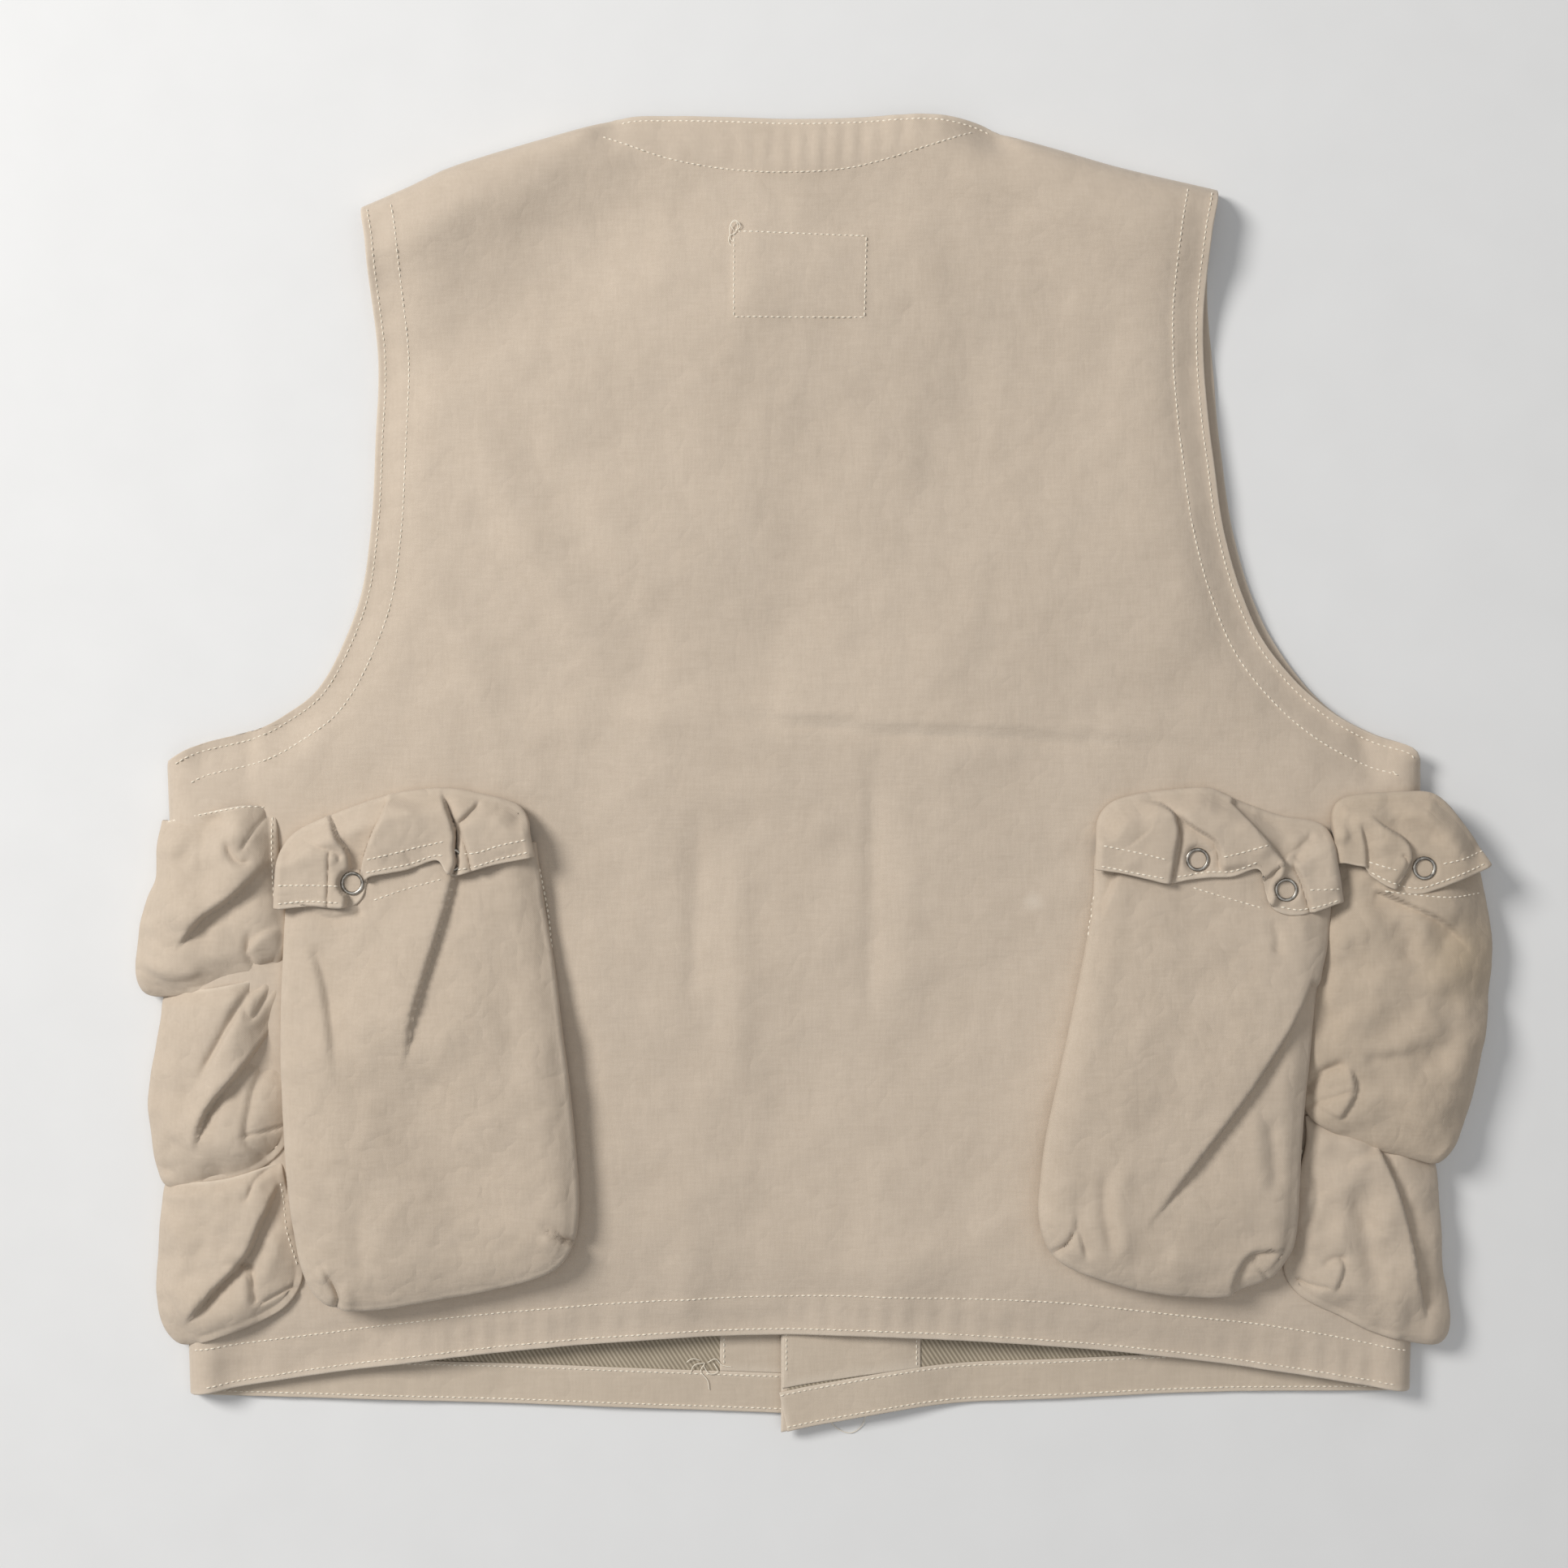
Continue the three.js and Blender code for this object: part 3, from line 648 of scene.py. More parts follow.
def steel(name):
    """Nickelled steel, faintly brushed, with duller handled patches."""
    r = Recipe(name, metallic=1.0, roughness=0.3)
    place = r.place()
    patchy = r.noise(place, 500, 3.0)
    scratch = r.noise(place, 2600, 2.0, (1, 0.2, 1))
    colour = r.blend(patchy.between(0.35, 0.7), (0.20, 0.18, 0.155), (0.50, 0.475, 0.43))
    return r.finish(colour, 0.22 + patchy * 0.2 + scratch * 0.08, r.bump(scratch, 0.15, 0.00004))


SHADE, DARK, PALE = (0.600, 0.505, 0.405), (0.485, 0.400, 0.312), (0.71, 0.62, 0.51)
khaki = cotton(
    "khaki_cotton", SHADE, DARK, PALE, crumple=0.26, stain=(103, -60, 5.5, (0.72, 0.64, 0.54), 0.35)
)
khaki_worn = cotton(
    "khaki_cotton_pockets", (0.570, 0.476, 0.378), (0.452, 0.370, 0.284), (0.69, 0.60, 0.49), crumple=0.52
)
khaki_stained = cotton(
    "khaki_cotton_stained", (0.540, 0.446, 0.345), (0.420, 0.338, 0.252), (0.65, 0.56, 0.45),
    crumple=0.52, stain=(303, -86, 26, (0.42, 0.315, 0.18), 0.34),
)
facing = cotton("facing_cotton", (0.590, 0.498, 0.395), (0.480, 0.398, 0.308), (0.70, 0.61, 0.50))
inside = coarse_twill("inside_twill", (0.50, 0.43, 0.325), (0.215, 0.175, 0.125))
cream = thread("cream_thread", (0.94, 0.875, 0.75), (0.76, 0.68, 0.55))
nickel = steel("nickelled_steel")


def floor_material():
    """Plain pale floor with the faintest tooth."""
    r = Recipe("pale_floor", roughness=0.9)
    tooth = r.noise(r.place(), 30, 3.0)
    return r.finish(r.blend(tooth, (0.72, 0.72, 0.715), (0.76, 0.76, 0.755)), 0.88 + tooth * 0.08)


# ---------------------------------------------------------------- attaching
def dressed(piece, material, slot, *more):
    """Gives a piece its materials. slot is not used."""
    for m in (material, *more):
        piece.data.materials.append(m)
    return piece


def across_fold(piece, joint):
    """Looks up the fold between the vest's body and a part that turns on it, and works out twice the reach
    across it, but only bakes the piece's transform into its mesh: the piece is not bent.
    """
    parent, child, middle, way, reach = FOLD_LINES[joint]
    m, w = np.array(middle) * MM, np.array(way) * reach * MM
    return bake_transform(piece, parent, child, start=tuple(m - w), end=tuple(m + w))


FOLD_LINES = {  # the two bodies, the middle of the bend, the way across it and its reach
    "left_back_flap": ("vest_body", "left_back_flap", (-190, -20, 20), (0.087, -0.996, 0), 7),
    "right_back_flap": ("vest_body", "right_back_flap", (188, -18, 20), (-0.087, -0.996, 0), 7),
    "right_side_flap": ("vest_body", "right_side_flap", (283, -18, 20), (0, -1, 0), 6),
    "left_front": ("vest_body", "left_front", (-103, 0, 1.1), (1, 0, 0), 9),
    "right_front": ("vest_body", "right_front", (85, 0, 1.1), (-1, 0, 0), 9),
}


def attach(piece, where):
    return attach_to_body(piece, where) if where == "vest_body" else across_fold(piece, where)


# ---------------------------------------------------------------- stitches
def stitch_template():
    """One stitch: five square rings along it whose size follows a half circle, so it dips into the cloth at
    both ends."""
    along = np.array([-1, -0.72, 0, 0.72, 1.0])
    size = np.array([0.25, 0.8, 1.0, 0.8, 0.25])
    ring = np.array([(-1, -1), (1, -1), (0.72, 0.9), (-0.72, 0.9)], float)
    points = np.concatenate([np.column_stack([np.full(4, a), ring * s]) for a, s in zip(along, size)])
    points[:, 2] -= np.repeat([1.0, 0.35, 0, 0.35, 1.0], 4)
    k = np.arange(4)
    after = (k + 1) % 4
    sides = [np.column_stack([k, after, after + 4, k + 4]) + 4 * r for r in range(4)]
    return points, np.vstack(sides + [[[3, 2, 1, 0]], [[16, 17, 18, 19]]])


TEMPLATE, TEMPLATE_FACES = stitch_template()


def stitches(name, cloth, rows, pitch=2.7, long=2.0, wide=0.60, tall=0.42, seed=5):
    """Rows of thread on a cloth: the template turned along each row's tangent and the cloth's normal."""
    dice = np.random.default_rng(seed)
    places, ways = [], []
    for row in rows:
        line = row if isinstance(row, np.ndarray) else curve(row)
        n = max(2, int(lengths(line)[-1] / pitch))
        s = (np.arange(n) + 0.5) / n
        here = at(line, s)
        t = at(line, np.minimum(s + 0.002, 1)) - at(line, np.maximum(s - 0.002, 0))
        places.append(here)
        ways.append(t)
    xy, t = np.concatenate(places), np.concatenate(ways)
    z, n = cloth.lay(xy)
    t = t / (np.linalg.norm(t, axis=1, keepdims=True) + 1e-9)
    t = np.column_stack([t, -(t * n[:, :2]).sum(1) / n[:, 2]])
    t /= np.linalg.norm(t, axis=1, keepdims=True)
    b = np.cross(n, t)
    size = dice.uniform(0.88, 1.1, (len(xy), 1, 1))
    slant = dice.normal(0, 0.05, (len(xy), 1))
    t, b = t + slant * b, b - slant * t
    centre = np.column_stack([xy, z]) + n * 0.10
    p = TEMPLATE[None] * (long / 2, wide / 2, tall)
    points = centre[:, None] + size * (p[..., :1] * t[:, None] + p[..., 1:2] * b[:, None]) + p[..., 2:] * n[
        :, None
    ]
    faces = TEMPLATE_FACES[None] + 20 * np.arange(len(xy))[:, None, None]
    piece = mesh_object(name, points.reshape(-1, 3), faces.reshape(-1, 4))
    return dressed(piece, cream, "khaki_cotton")


def declare(cloth, wide, long, held, rests, extra=(), area=None):
    """Turns the cut size from millimetres to metres and the share it fills into an area, and keeps none of
    it: nothing is declared, nor what is sewn on it."""
    share = None if area is None else area * wide * long * MM * MM
    wide * MM
    long * MM
    list(extra)
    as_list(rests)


def thread_tails(name, tails, lift, where, radius=0.2):
    """Cut thread ends lying on the cloth: a five-sided tube carried along each short curve (x, y, height)."""
    points, faces, count = [], [], 0
    for tail in tails:
        line = curve([(x, y, z + lift) for x, y, z in tail], gap=0.7)
        t = np.gradient(line, axis=0)
        t /= np.linalg.norm(t, axis=1, keepdims=True)
        side = np.cross(t, [0.0, 0.0, 1.0])
        side /= np.linalg.norm(side, axis=1, keepdims=True) + 1e-9
        up = np.cross(side, t)
        a = np.linspace(0, 2 * np.pi, 5, endpoint=False)[None, :, None]
        size = radius * np.r_[0.05, np.ones(len(line) - 2), 0.05][:, None, None]
        ring = np.cos(a) * side[:, None] + np.sin(a) * up[:, None]
        points.append((line[:, None] + size * ring).reshape(-1, 3))
        i = np.arange(len(line) * 5).reshape(-1, 5)
        j = np.roll(i, -1, 1)
        faces.append(count + np.stack([i[:-1], i[1:], j[1:], j[:-1]], -1).reshape(-1, 4))
        count += len(line) * 5
    piece = mesh_object(name, np.concatenate(points), np.concatenate(faces))
    return attach(dressed(piece, cream, "khaki_cotton"), where)


# ---------------------------------------------------------------- back
def back_wear(x, y, free):
    """Pale edges, and a paler line along the main creases."""
    crease = ridge(x, y, [(-45, 28), (45, 20), (113, 17), (200, 13)], 0.35, 1.8)
    return np.clip(bell(free, 1.6) + crease, 0, 1)


back = panel("back_sheet", LEFT_EDGE, RIGHT_EDGE, HEM, TOP, back_height, CLOTH, (2.7, 3.2), back_wear)
dressed(back.piece, khaki, "khaki_cotton")
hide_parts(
    "back_panel", "neck_facing", "left_armhole_facing", "right_armhole_facing", "back_hem_facing",
    "label_patch"
)
attach(back.piece, "vest_body")
upper_hem = curve([
    (-291, -271), (-230, -263), (-168, -255), (-85, -248), (-1, -245), (60, -246), (113, -248), (170, -254),
    (227, -261), (279, -271),
])
back_rows = [
    beside(HEM, 3.0)[4:-4], upper_hem,
    beside(LEFT_ARMHOLE, -3.4)[4:-3], beside(LEFT_ARMHOLE, -15)[6:-4], beside(RIGHT_ARMHOLE, 3.4)[4:-3],
    beside(RIGHT_ARMHOLE, 15)[6:-4],
    beside(NECK, -2.6)[3:-3],
    [(-99, 299), (-69, 289), (-45, 284.5), (-16, 282), (18, 284), (56, 294), (75, 301)],
    [(-37, 254), (-37, 213)], [(-37, 213), (24, 213.5)], [(24, 213.5), (25, 252)], [(25, 252), (-36, 254)],
]
back_stitches = attach(stitches("back_stitches", back, back_rows), "vest_body")
tangle = thread_tails("label_thread_tails", [
    [(-37, 254, 0.2), (-38.5, 257, 0.9), (-36, 258.5, 1.1), (-35.5, 255, 0.7), (-37.5, 252, 0.4)],
    [(-37, 253, 0.3), (-39.5, 251, 0.8), (-39, 248, 0.6), (-37, 246, 0.3)],
    [
        (-37, 254, 0.4), (-34, 256, 0.9), (-36.5, 259, 1.2), (-39, 256, 0.8), (-38.5, 250, 0.5),
        (-36, 249, 0.4)
    ],
], float(back.lay(np.array([(-37.0, 252.0)]))[0][0]), "vest_body")
declare(back, 592, 610, "laid", ["left_front_sheet", "right_front_sheet"], [back_stitches, tangle], area=0.86)


# ---------------------------------------------------------------- fronts
FRONTS = {
    "left": {
        "seams": (LEFT_SIDE, LEFT_SHOULDER), "armhole": LEFT_ARMHOLE, "lift": 0.0, "seed": 32,
        "placket": (
            [(-44, -283), (-44, 0), (-44, 190)], [(24, -285), (24, 0), (24, 128)],
            [(-44, 190), (-30, 180), (-2, 148), (24, 128)],
        ),
        "rows": (22, -42), "twill_from": -1000, "wide": 330, "band": 313,
    },
    "right": {
        "seams": (RIGHT_SIDE, RIGHT_SHOULDER), "armhole": RIGHT_ARMHOLE, "lift": 5.1, "seed": 31,
        "placket": (
            [(-14.4, -290), (-14.4, 0), (-14.4, 128)], [(51, -281), (51, 0), (51, 205)],
            [(-14.4, 128), (10, 148), (34, 180), (51, 205)],
        ),
        "rows": (-12.5, 49), "twill_from": -12, "wide": 300, "band": 292,
    },
}
BAND_WIDTH, BAND_RISE = 19.0, 1.12  # of a sewn strip: its width, and its middle above the cloth's middle


def front_panel(side):
    """A front's left, right and hem lines and its shoulder. The right one looks out a little past the
    armhole."""
    if side == "left":
        hem = curve([(-294, -294), (-153, -298), (-15, -303), (25, -304)])
        neckline = curve([(25, 128), (-2, 148), (-30, 180), (-60, 235), (-94, 306)])
        edge = joined(curve([(25, -304), (25, 0), (25, 128)]), neckline)
        return joined(LEFT_SIDE, beside(LEFT_ARMHOLE, 1.0)), edge, hem, LEFT_SHOULDER
    hem = curve([(-15, -311), (10, -306), (56, -299), (120, -296), (189, -293), (282, -292)])
    neckline = curve([(-15, 128), (10, 148), (34, 180), (60, 235), (87, 300)])
    edge = joined(curve([(-15, -311), (-15, 0), (-15, 128)]), neckline)
    peek = beside(RIGHT_ARMHOLE, -1)
    s = np.linspace(0, 1, len(peek))[:, None]
    peek = peek + np.array([[1.0, 0.25]]) * 4.2 * step(0.12, 0.32, s) * step(0.05, 0.3, 1 - s)
    return edge, joined(RIGHT_SIDE, peek), hem, RIGHT_SHOULDER


def front_height(lift, seed, seams):
    """A front lies on the floor. The right one is lifted where it laps over the left one."""

    def height(x, y):
        """Just above the floor, with a low seeded waviness that never dips below it and ends at the seams."""
        calm = np.maximum(bell(x - 10, 38), 1 - step(0, 25, from_lines(x, y, seams, 14)))
        wave = ripples(x, y, seed, 60, 200, 0.02) + ripples(x, y, seed + 5, 14, 40, 0.02)
        return 1.8 + lift * (1 - step(30, 80, x)) + np.maximum(wave, -0.6) * (1 - calm)

    return height


def between(line, low, high):
    """The stretch of a line that runs to +X from x = low to x = high."""
    x = np.linspace(low, high, 40)
    return np.stack([x, np.interp(x, line[:, 0], line[:, 1])], -1)


for side, given in FRONTS.items():
    left_line, right_line, hem_line, shoulder_line = front_panel(side)
    height = front_height(given["lift"], given["seed"], given["seams"])
    front = panel(
        f"{side}_front_sheet", left_line, right_line, hem_line, shoulder_line, height, CLOTH, (3.0, 3.4)
    )
    dressed(front.piece, khaki, "khaki_cotton", inside)
    centres = front.top[front.faces].mean(1)
    armhole = from_line(centres[:, 0], centres[:, 1], given["armhole"])
    from_hem = from_line(centres[:, 0], centres[:, 1], hem_line)
    past_placket = centres[:, 0] > given["twill_from"]
    twill = (armhole > 22) & (centres[:, 1] < 190) & (from_hem > 17) & past_placket
    index = np.zeros(len(front.piece.data.polygons), np.int32)
    index[: len(twill)] = twill
    front.piece.data.polygons.foreach_set("material_index", index)

    def raised(x, y):
        return height(x, y) + BAND_RISE

    low = hem_line[3:-3]
    high = beside(low, BAND_WIDTH)
    ends = np.stack([low[0], high[0]]), np.stack([low[-1], high[-1]])
    band = panel(f"{side}_front_hem_sheet", *ends, low, high, raised, BAND_CLOTH, (3.0, 1.6))
    dressed(band.piece, facing, "khaki_cotton")
    left_line, right_line, top_line = (curve(points) for points in given["placket"])
    foot = between(beside(hem_line, 19.3), left_line[0, 0], right_line[0, 0])
    placket = panel(
        f"{side}_placket_sheet", left_line, right_line, foot, top_line, raised, BAND_CLOTH, (3, 5)
    )
    dressed(placket.piece, facing, "facing_cotton")
    hem_rows = [beside(low, 2.2), beside(low, 17.4)]
    sewn_band = attach(stitches(f"{side}_front_hem_stitches", band, hem_rows), f"{side}_front")
    edge_x, seam_x = given["rows"]
    placket_rows = [
        [(edge_x, -282), (edge_x, 0), (edge_x, 120)], [(seam_x, -280), (seam_x, 0), (seam_x, 180)]
    ]
    sewn_placket = attach(stitches(f"{side}_placket_stitches", placket, placket_rows), f"{side}_front")
    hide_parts(f"{side}_front_leaf", f"{side}_front_side")
    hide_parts(f"{side}_front_hem_band")
    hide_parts(f"{side}_placket_facing")
    for cloth in (front, band, placket):
        attach(cloth.piece, f"{side}_front")
    declare(front, given["wide"], 600, "laid", ["floor"], area=0.85)
    declare(band, given["band"], 19, "laid", [front.piece], [sewn_band])
    declare(placket, 67, 440, "laid", [front.piece], [sewn_placket])


thread_tails("hem_thread_tails", [
    [(-51, -279, 0.2), (-53, -283, 0.8), (-50, -287, 0.9), (-49, -292, 0.5)],
    [(-51, -279, 0.3), (-56, -280, 0.9), (-58, -284, 0.6)],
    [(-50, -279, 0.4), (-46, -277, 1.0), (-43, -280, 0.7), (-38, -281, 0.4)],
    [(-52, -280, 0.5), (-49, -284, 1.2), (-45, -283, 0.9), (-47, -279, 0.6)],
    [(-53, -278, 0.3), (-57, -277, 0.8), (-60, -279, 0.5)],
], 3.1, "left_front")
thread_tails("right_hem_thread_tails", [
    [
        (8, -301, 0.2), (8, -306, 0.1), (12, -311, -2.2), (18, -313, -2.5), (23, -310, -2.4), (25, -304, 0.1),
        (24, -300, 0.2)
    ],
    [(80, -268, 0.2), (82, -265, 1.0), (87, -264.5, 1.2), (91, -267, 0.3)],
], 3.1, "right_front")


# ---------------------------------------------------------------- pockets
def puffed(u, v, side=0.10, end=0.08):
    """1 over the middle of a face, falling to 0 at its sewn sides and bottom as 1 - (1 - t)^2."""
    t = np.clip(np.minimum(u, 1 - u) / side, 0, 1)
    b = np.clip(v / end, 0, 1)
    return (1 - (1 - t) ** 2) * (1 - (1 - b) ** 2)


def back_bag_base(y, u, v, rise):
    """Thin at the mouth and deeper below by rise, crowned, and drawn down towards its sewn sides."""
    z = 23.0 + rise * step(-40, -135, y) + 2.2 * puffed(u, v)
    return z - 2.0 * (1 - puffed(u, v, 0.3, 0.3)) * step(-60, -120, y)


def left_back_face(x, y, u, v):
    """A sharp crease runs down from under the flap, and the bottom's left corner is pinched."""
    z = back_bag_base(y, u, v, 10.5)
    folds = [
        (
            [
                (-190, -140), (-187, -127), (-185, -112), (-180, -94), (-175, -77), (-171, -63), (-168, -50),
                (-167, -40)
            ],
            3.0, 24, 2.4, 16, 0.6, (0.35, 0.01)
        ),
        ([(-220, -150), (-224, -119), (-228, -97), (-235, -78)], 1.6, 8, 1.6, 11, 2.0, (0.5, 0.2)),
        ([(-115, -227), (-115, -219), (-120, -211), (-127, -208)], 1.3, 7, 1.8, 4, 0.9, (0.05, 0.4)),
        ([(-236, -60), (-224, -66), (-206, -62)], 1.2, 5, 1.0, 5, 1.2),
    ]
    ridges = [
        ([(-184, -128), (-177, -160), (-168, -200)], -2.0, 14),
        ([(-209, -200), (-209, -218), (-208, -236)], -1.0, 4),
        ([(-216, -180), (-220, -205), (-226, -222)], 0.9, 6),
        ([(-220, -251), (-220, -242), (-224, -232), (-229, -222)], -3.2, 1.3, (0.01, 0.6)),
        ([(-216, -249), (-215, -241), (-217, -233)], 1.2, 2.6, (0.01, 0.5)),
        ([(-113, -217), (-120, -213), (-127, -207)], -2.8, 1.2, (0.01, 0.5)),
        ([(-213, -58), (-211, -63), (-210, -68)], -1.4, 1.6),
        ([(-150, -80), (-140, -110), (-138, -150)], -0.8, 12),
        ([(-236, -130), (-233, -160), (-230, -190)], -0.9, 6),
        ([(-150, -205), (-130, -215), (-118, -220)], 0.8, 8),
        ([(-200, -140), (-205, -165), (-214, -185)], 0.8, 7),
        ([(-228, -236), (-226, -231), (-221, -229)], 0.9, 3),
    ]
    z = z + relief(x, y, folds, ridges)
    return z + ripples(x, y, 41, 30, 110, 0.09) + ripples(x, y, 42, 9, 26, 0.055, 24)


def right_back_face(x, y, u, v):
    """As the left one, with a long diagonal fold that lifts its upper outer half."""
    z = back_bag_base(y, u, v, 9.5)
    folds = [
        (
            [
                (150, -214), (164, -195), (177, -178), (190, -161), (203, -143), (216, -123), (227, -104),
                (236, -84), (240, -68)
            ],
            3.6, 32, 2.8, 19, 0.7, (0.3, 0.12)
        ),
        (
            [(192, -242), (196, -229), (201, -222), (209, -220), (219, -221)], 0.9, 5, 2.8, 6, 0.8,
            (0.05, 0.25)
        ),
        ([(143, -44), (136, -61), (130, -78)], 1.4, 10, 2.2, 6, 0.9, (0.05, 0.3)),
        ([(126, -226), (121, -209), (120, -198)], 1.0, 6, 1.4, 5, 1.0, (0.2, 0.5)),
    ]
    ridges = [
        ([(135, -180), (135, -203), (139, -226)], -1.9, 3.2),
        ([(141, -178), (142, -203), (146, -228)], 1.1, 5),
        ([(211, -158), (213, -180), (214, -196)], -1.6, 4), ([(203, -150), (205, -175), (208, -200)], 1.0, 5),
        ([(202, -224), (206, -228), (210, -233)], -1.4, 0.9, (0.1, 0.1)),
        ([(107, -219), (113, -221), (119, -215), (122, -206)], -2.8, 1.2, (0.01, 0.4)),
        ([(212, -66), (215, -76), (214, -86)], -1.4, 2.6), ([(180, -70), (190, -95), (196, -115)], 0.8, 9),
        ([(222, -64), (226, -72), (226, -82)], 1.0, 4), ([(160, -220), (175, -226), (190, -228)], 0.8, 6),
    ]
    z = z + relief(x, y, folds, ridges)
    return z + ripples(x, y, 43, 30, 110, 0.08) + ripples(x, y, 44, 9, 26, 0.05, 24)


def on_back(x, y):
    """The back's upper face under a wall."""
    return back_height(x, y) + 0.9


LEFT_BACK_RIM = [
    (-244, -34), (-246, -70), (-247, -114), (-246, -148), (-243, -190), (-239, -220), (-234, -236),
    (-227, -245), (-216, -248.5),
    (-200, -248), (-182, -245), (-153, -240), (-130, -234), (-118, -228), (-111, -216), (-109, -200),
    (-110, -180), (-113, -150),
    (-117, -120), (-121, -90), (-126, -62), (-130, -32),
]
RIGHT_BACK_RIM = [
    (132, -38), (131, -60), (127, -83), (122, -106), (116, -133), (109, -166), (106, -190), (105, -203),
    (107, -215), (112, -224),
    (121, -230), (135, -235), (153, -240), (175, -242.5), (191, -242.5), (202, -238), (212, -234),
    (219, -226), (223.5, -215),
    (225.5, -188), (227, -161), (231, -124), (235, -96), (239, -78), (241, -63), (241, -44),
]


def side_face(inner_x, outer_x, crown, folds, ridges, seed, drop=11.0, lift=0.0, mouth=(0.86, 1.0, 4.0)):
    """A side pocket's face: level over the back, falling away over the side seam, crowned between its sewn
    sides, and drawn down at its mouth."""

    def height(x, y, u, v):
        over = np.clip((np.abs(x) - inner_x) / (outer_x - inner_x), 0, 1)
        z = 19.5 + lift + crown * puffed(u, v, 0.35, 0.22) - drop * over**2.4
        z = z - mouth[2] * step(mouth[0], mouth[1], v)
        z = z + relief(x, y, folds, ridges)
        z = z + ripples(x, y, seed, 16, 60, 0.17, 20) + ripples(x, y, seed + 1, 7, 16, 0.08, 24)
        return np.maximum(z, 6.0)

    return height


SIDE_RIMS = {
    "left_side_upper": [
        (-307, -22), (-308, -38), (-308, -50), (-312, -57), (-316, -69), (-318, -84), (-318, -97),
        (-313, -104), (-298, -104),
        (-281, -101.5), (-263, -98), (-255, -94), (-249, -88), (-245, -79), (-245, -70), (-248, -60),
        (-250, -42), (-251, -26), (-253, -15),
    ],
    "left_side_middle": [
        (-306, -102), (-307, -116), (-309, -128), (-312, -145), (-313, -156), (-311, -172), (-309, -185),
        (-304, -194), (-292, -194.5),
        (-279, -192), (-265, -188), (-255, -182), (-248, -175), (-244, -165), (-246, -145), (-248, -125),
        (-247, -106), (-246, -94),
    ],
    "left_side_lower": [
        (-305, -192), (-307, -213), (-309, -232), (-309, -246), (-306, -260), (-299, -268), (-290, -267.5),
        (-275, -262.5), (-259, -256),
        (-248, -250), (-241, -241), (-239, -232), (-241, -220), (-244, -207), (-247, -193), (-249, -182),
    ],
    "right_side_upper": [
        (246, -38), (242, -62), (239, -76), (235, -95), (232, -112), (230, -130), (228, -144), (229, -154),
        (234, -162), (246, -168.5),
        (264, -175.5), (282, -180), (291, -182), (298, -176), (303, -166), (308, -153), (312, -133),
        (316, -109), (318, -87), (317, -68), (313, -42),
    ],
    "right_side_lower": [
        (231, -160), (231, -173), (227, -190), (225, -205), (221, -222), (221, -234), (226, -242),
        (233, -247), (246, -253), (260, -260),
        (275, -265), (288, -267.5), (295, -267), (299, -260), (298, -244), (295, -231), (294, -207),
        (292, -180),
    ],
}
SIDE_CORNERS = {
    "left_side_upper": ((-314, -100), (-250, -91)), "left_side_middle": ((-305, -190), (-249, -177)),
    "left_side_lower": ((-303, -262), (-243, -243)), "right_side_upper": ((233, -158), (294, -177)),
    "right_side_lower": ((226, -239), (295, -262)),
}
SIDE_MOUTHS = {
    "left_side_upper": [(-307, -22), (-285, -18), (-265, -14.5), (-253, -15)],
    "left_side_middle": [(-306, -100), (-280, -97), (-247, -90)],
    "left_side_lower": [(-305, -190), (-275, -186), (-249, -178)],
    "right_side_upper": [(246, -36), (280, -30), (313, -40)],
    "right_side_lower": [(231, -160), (246, -165), (262, -171), (292, -178)],
}
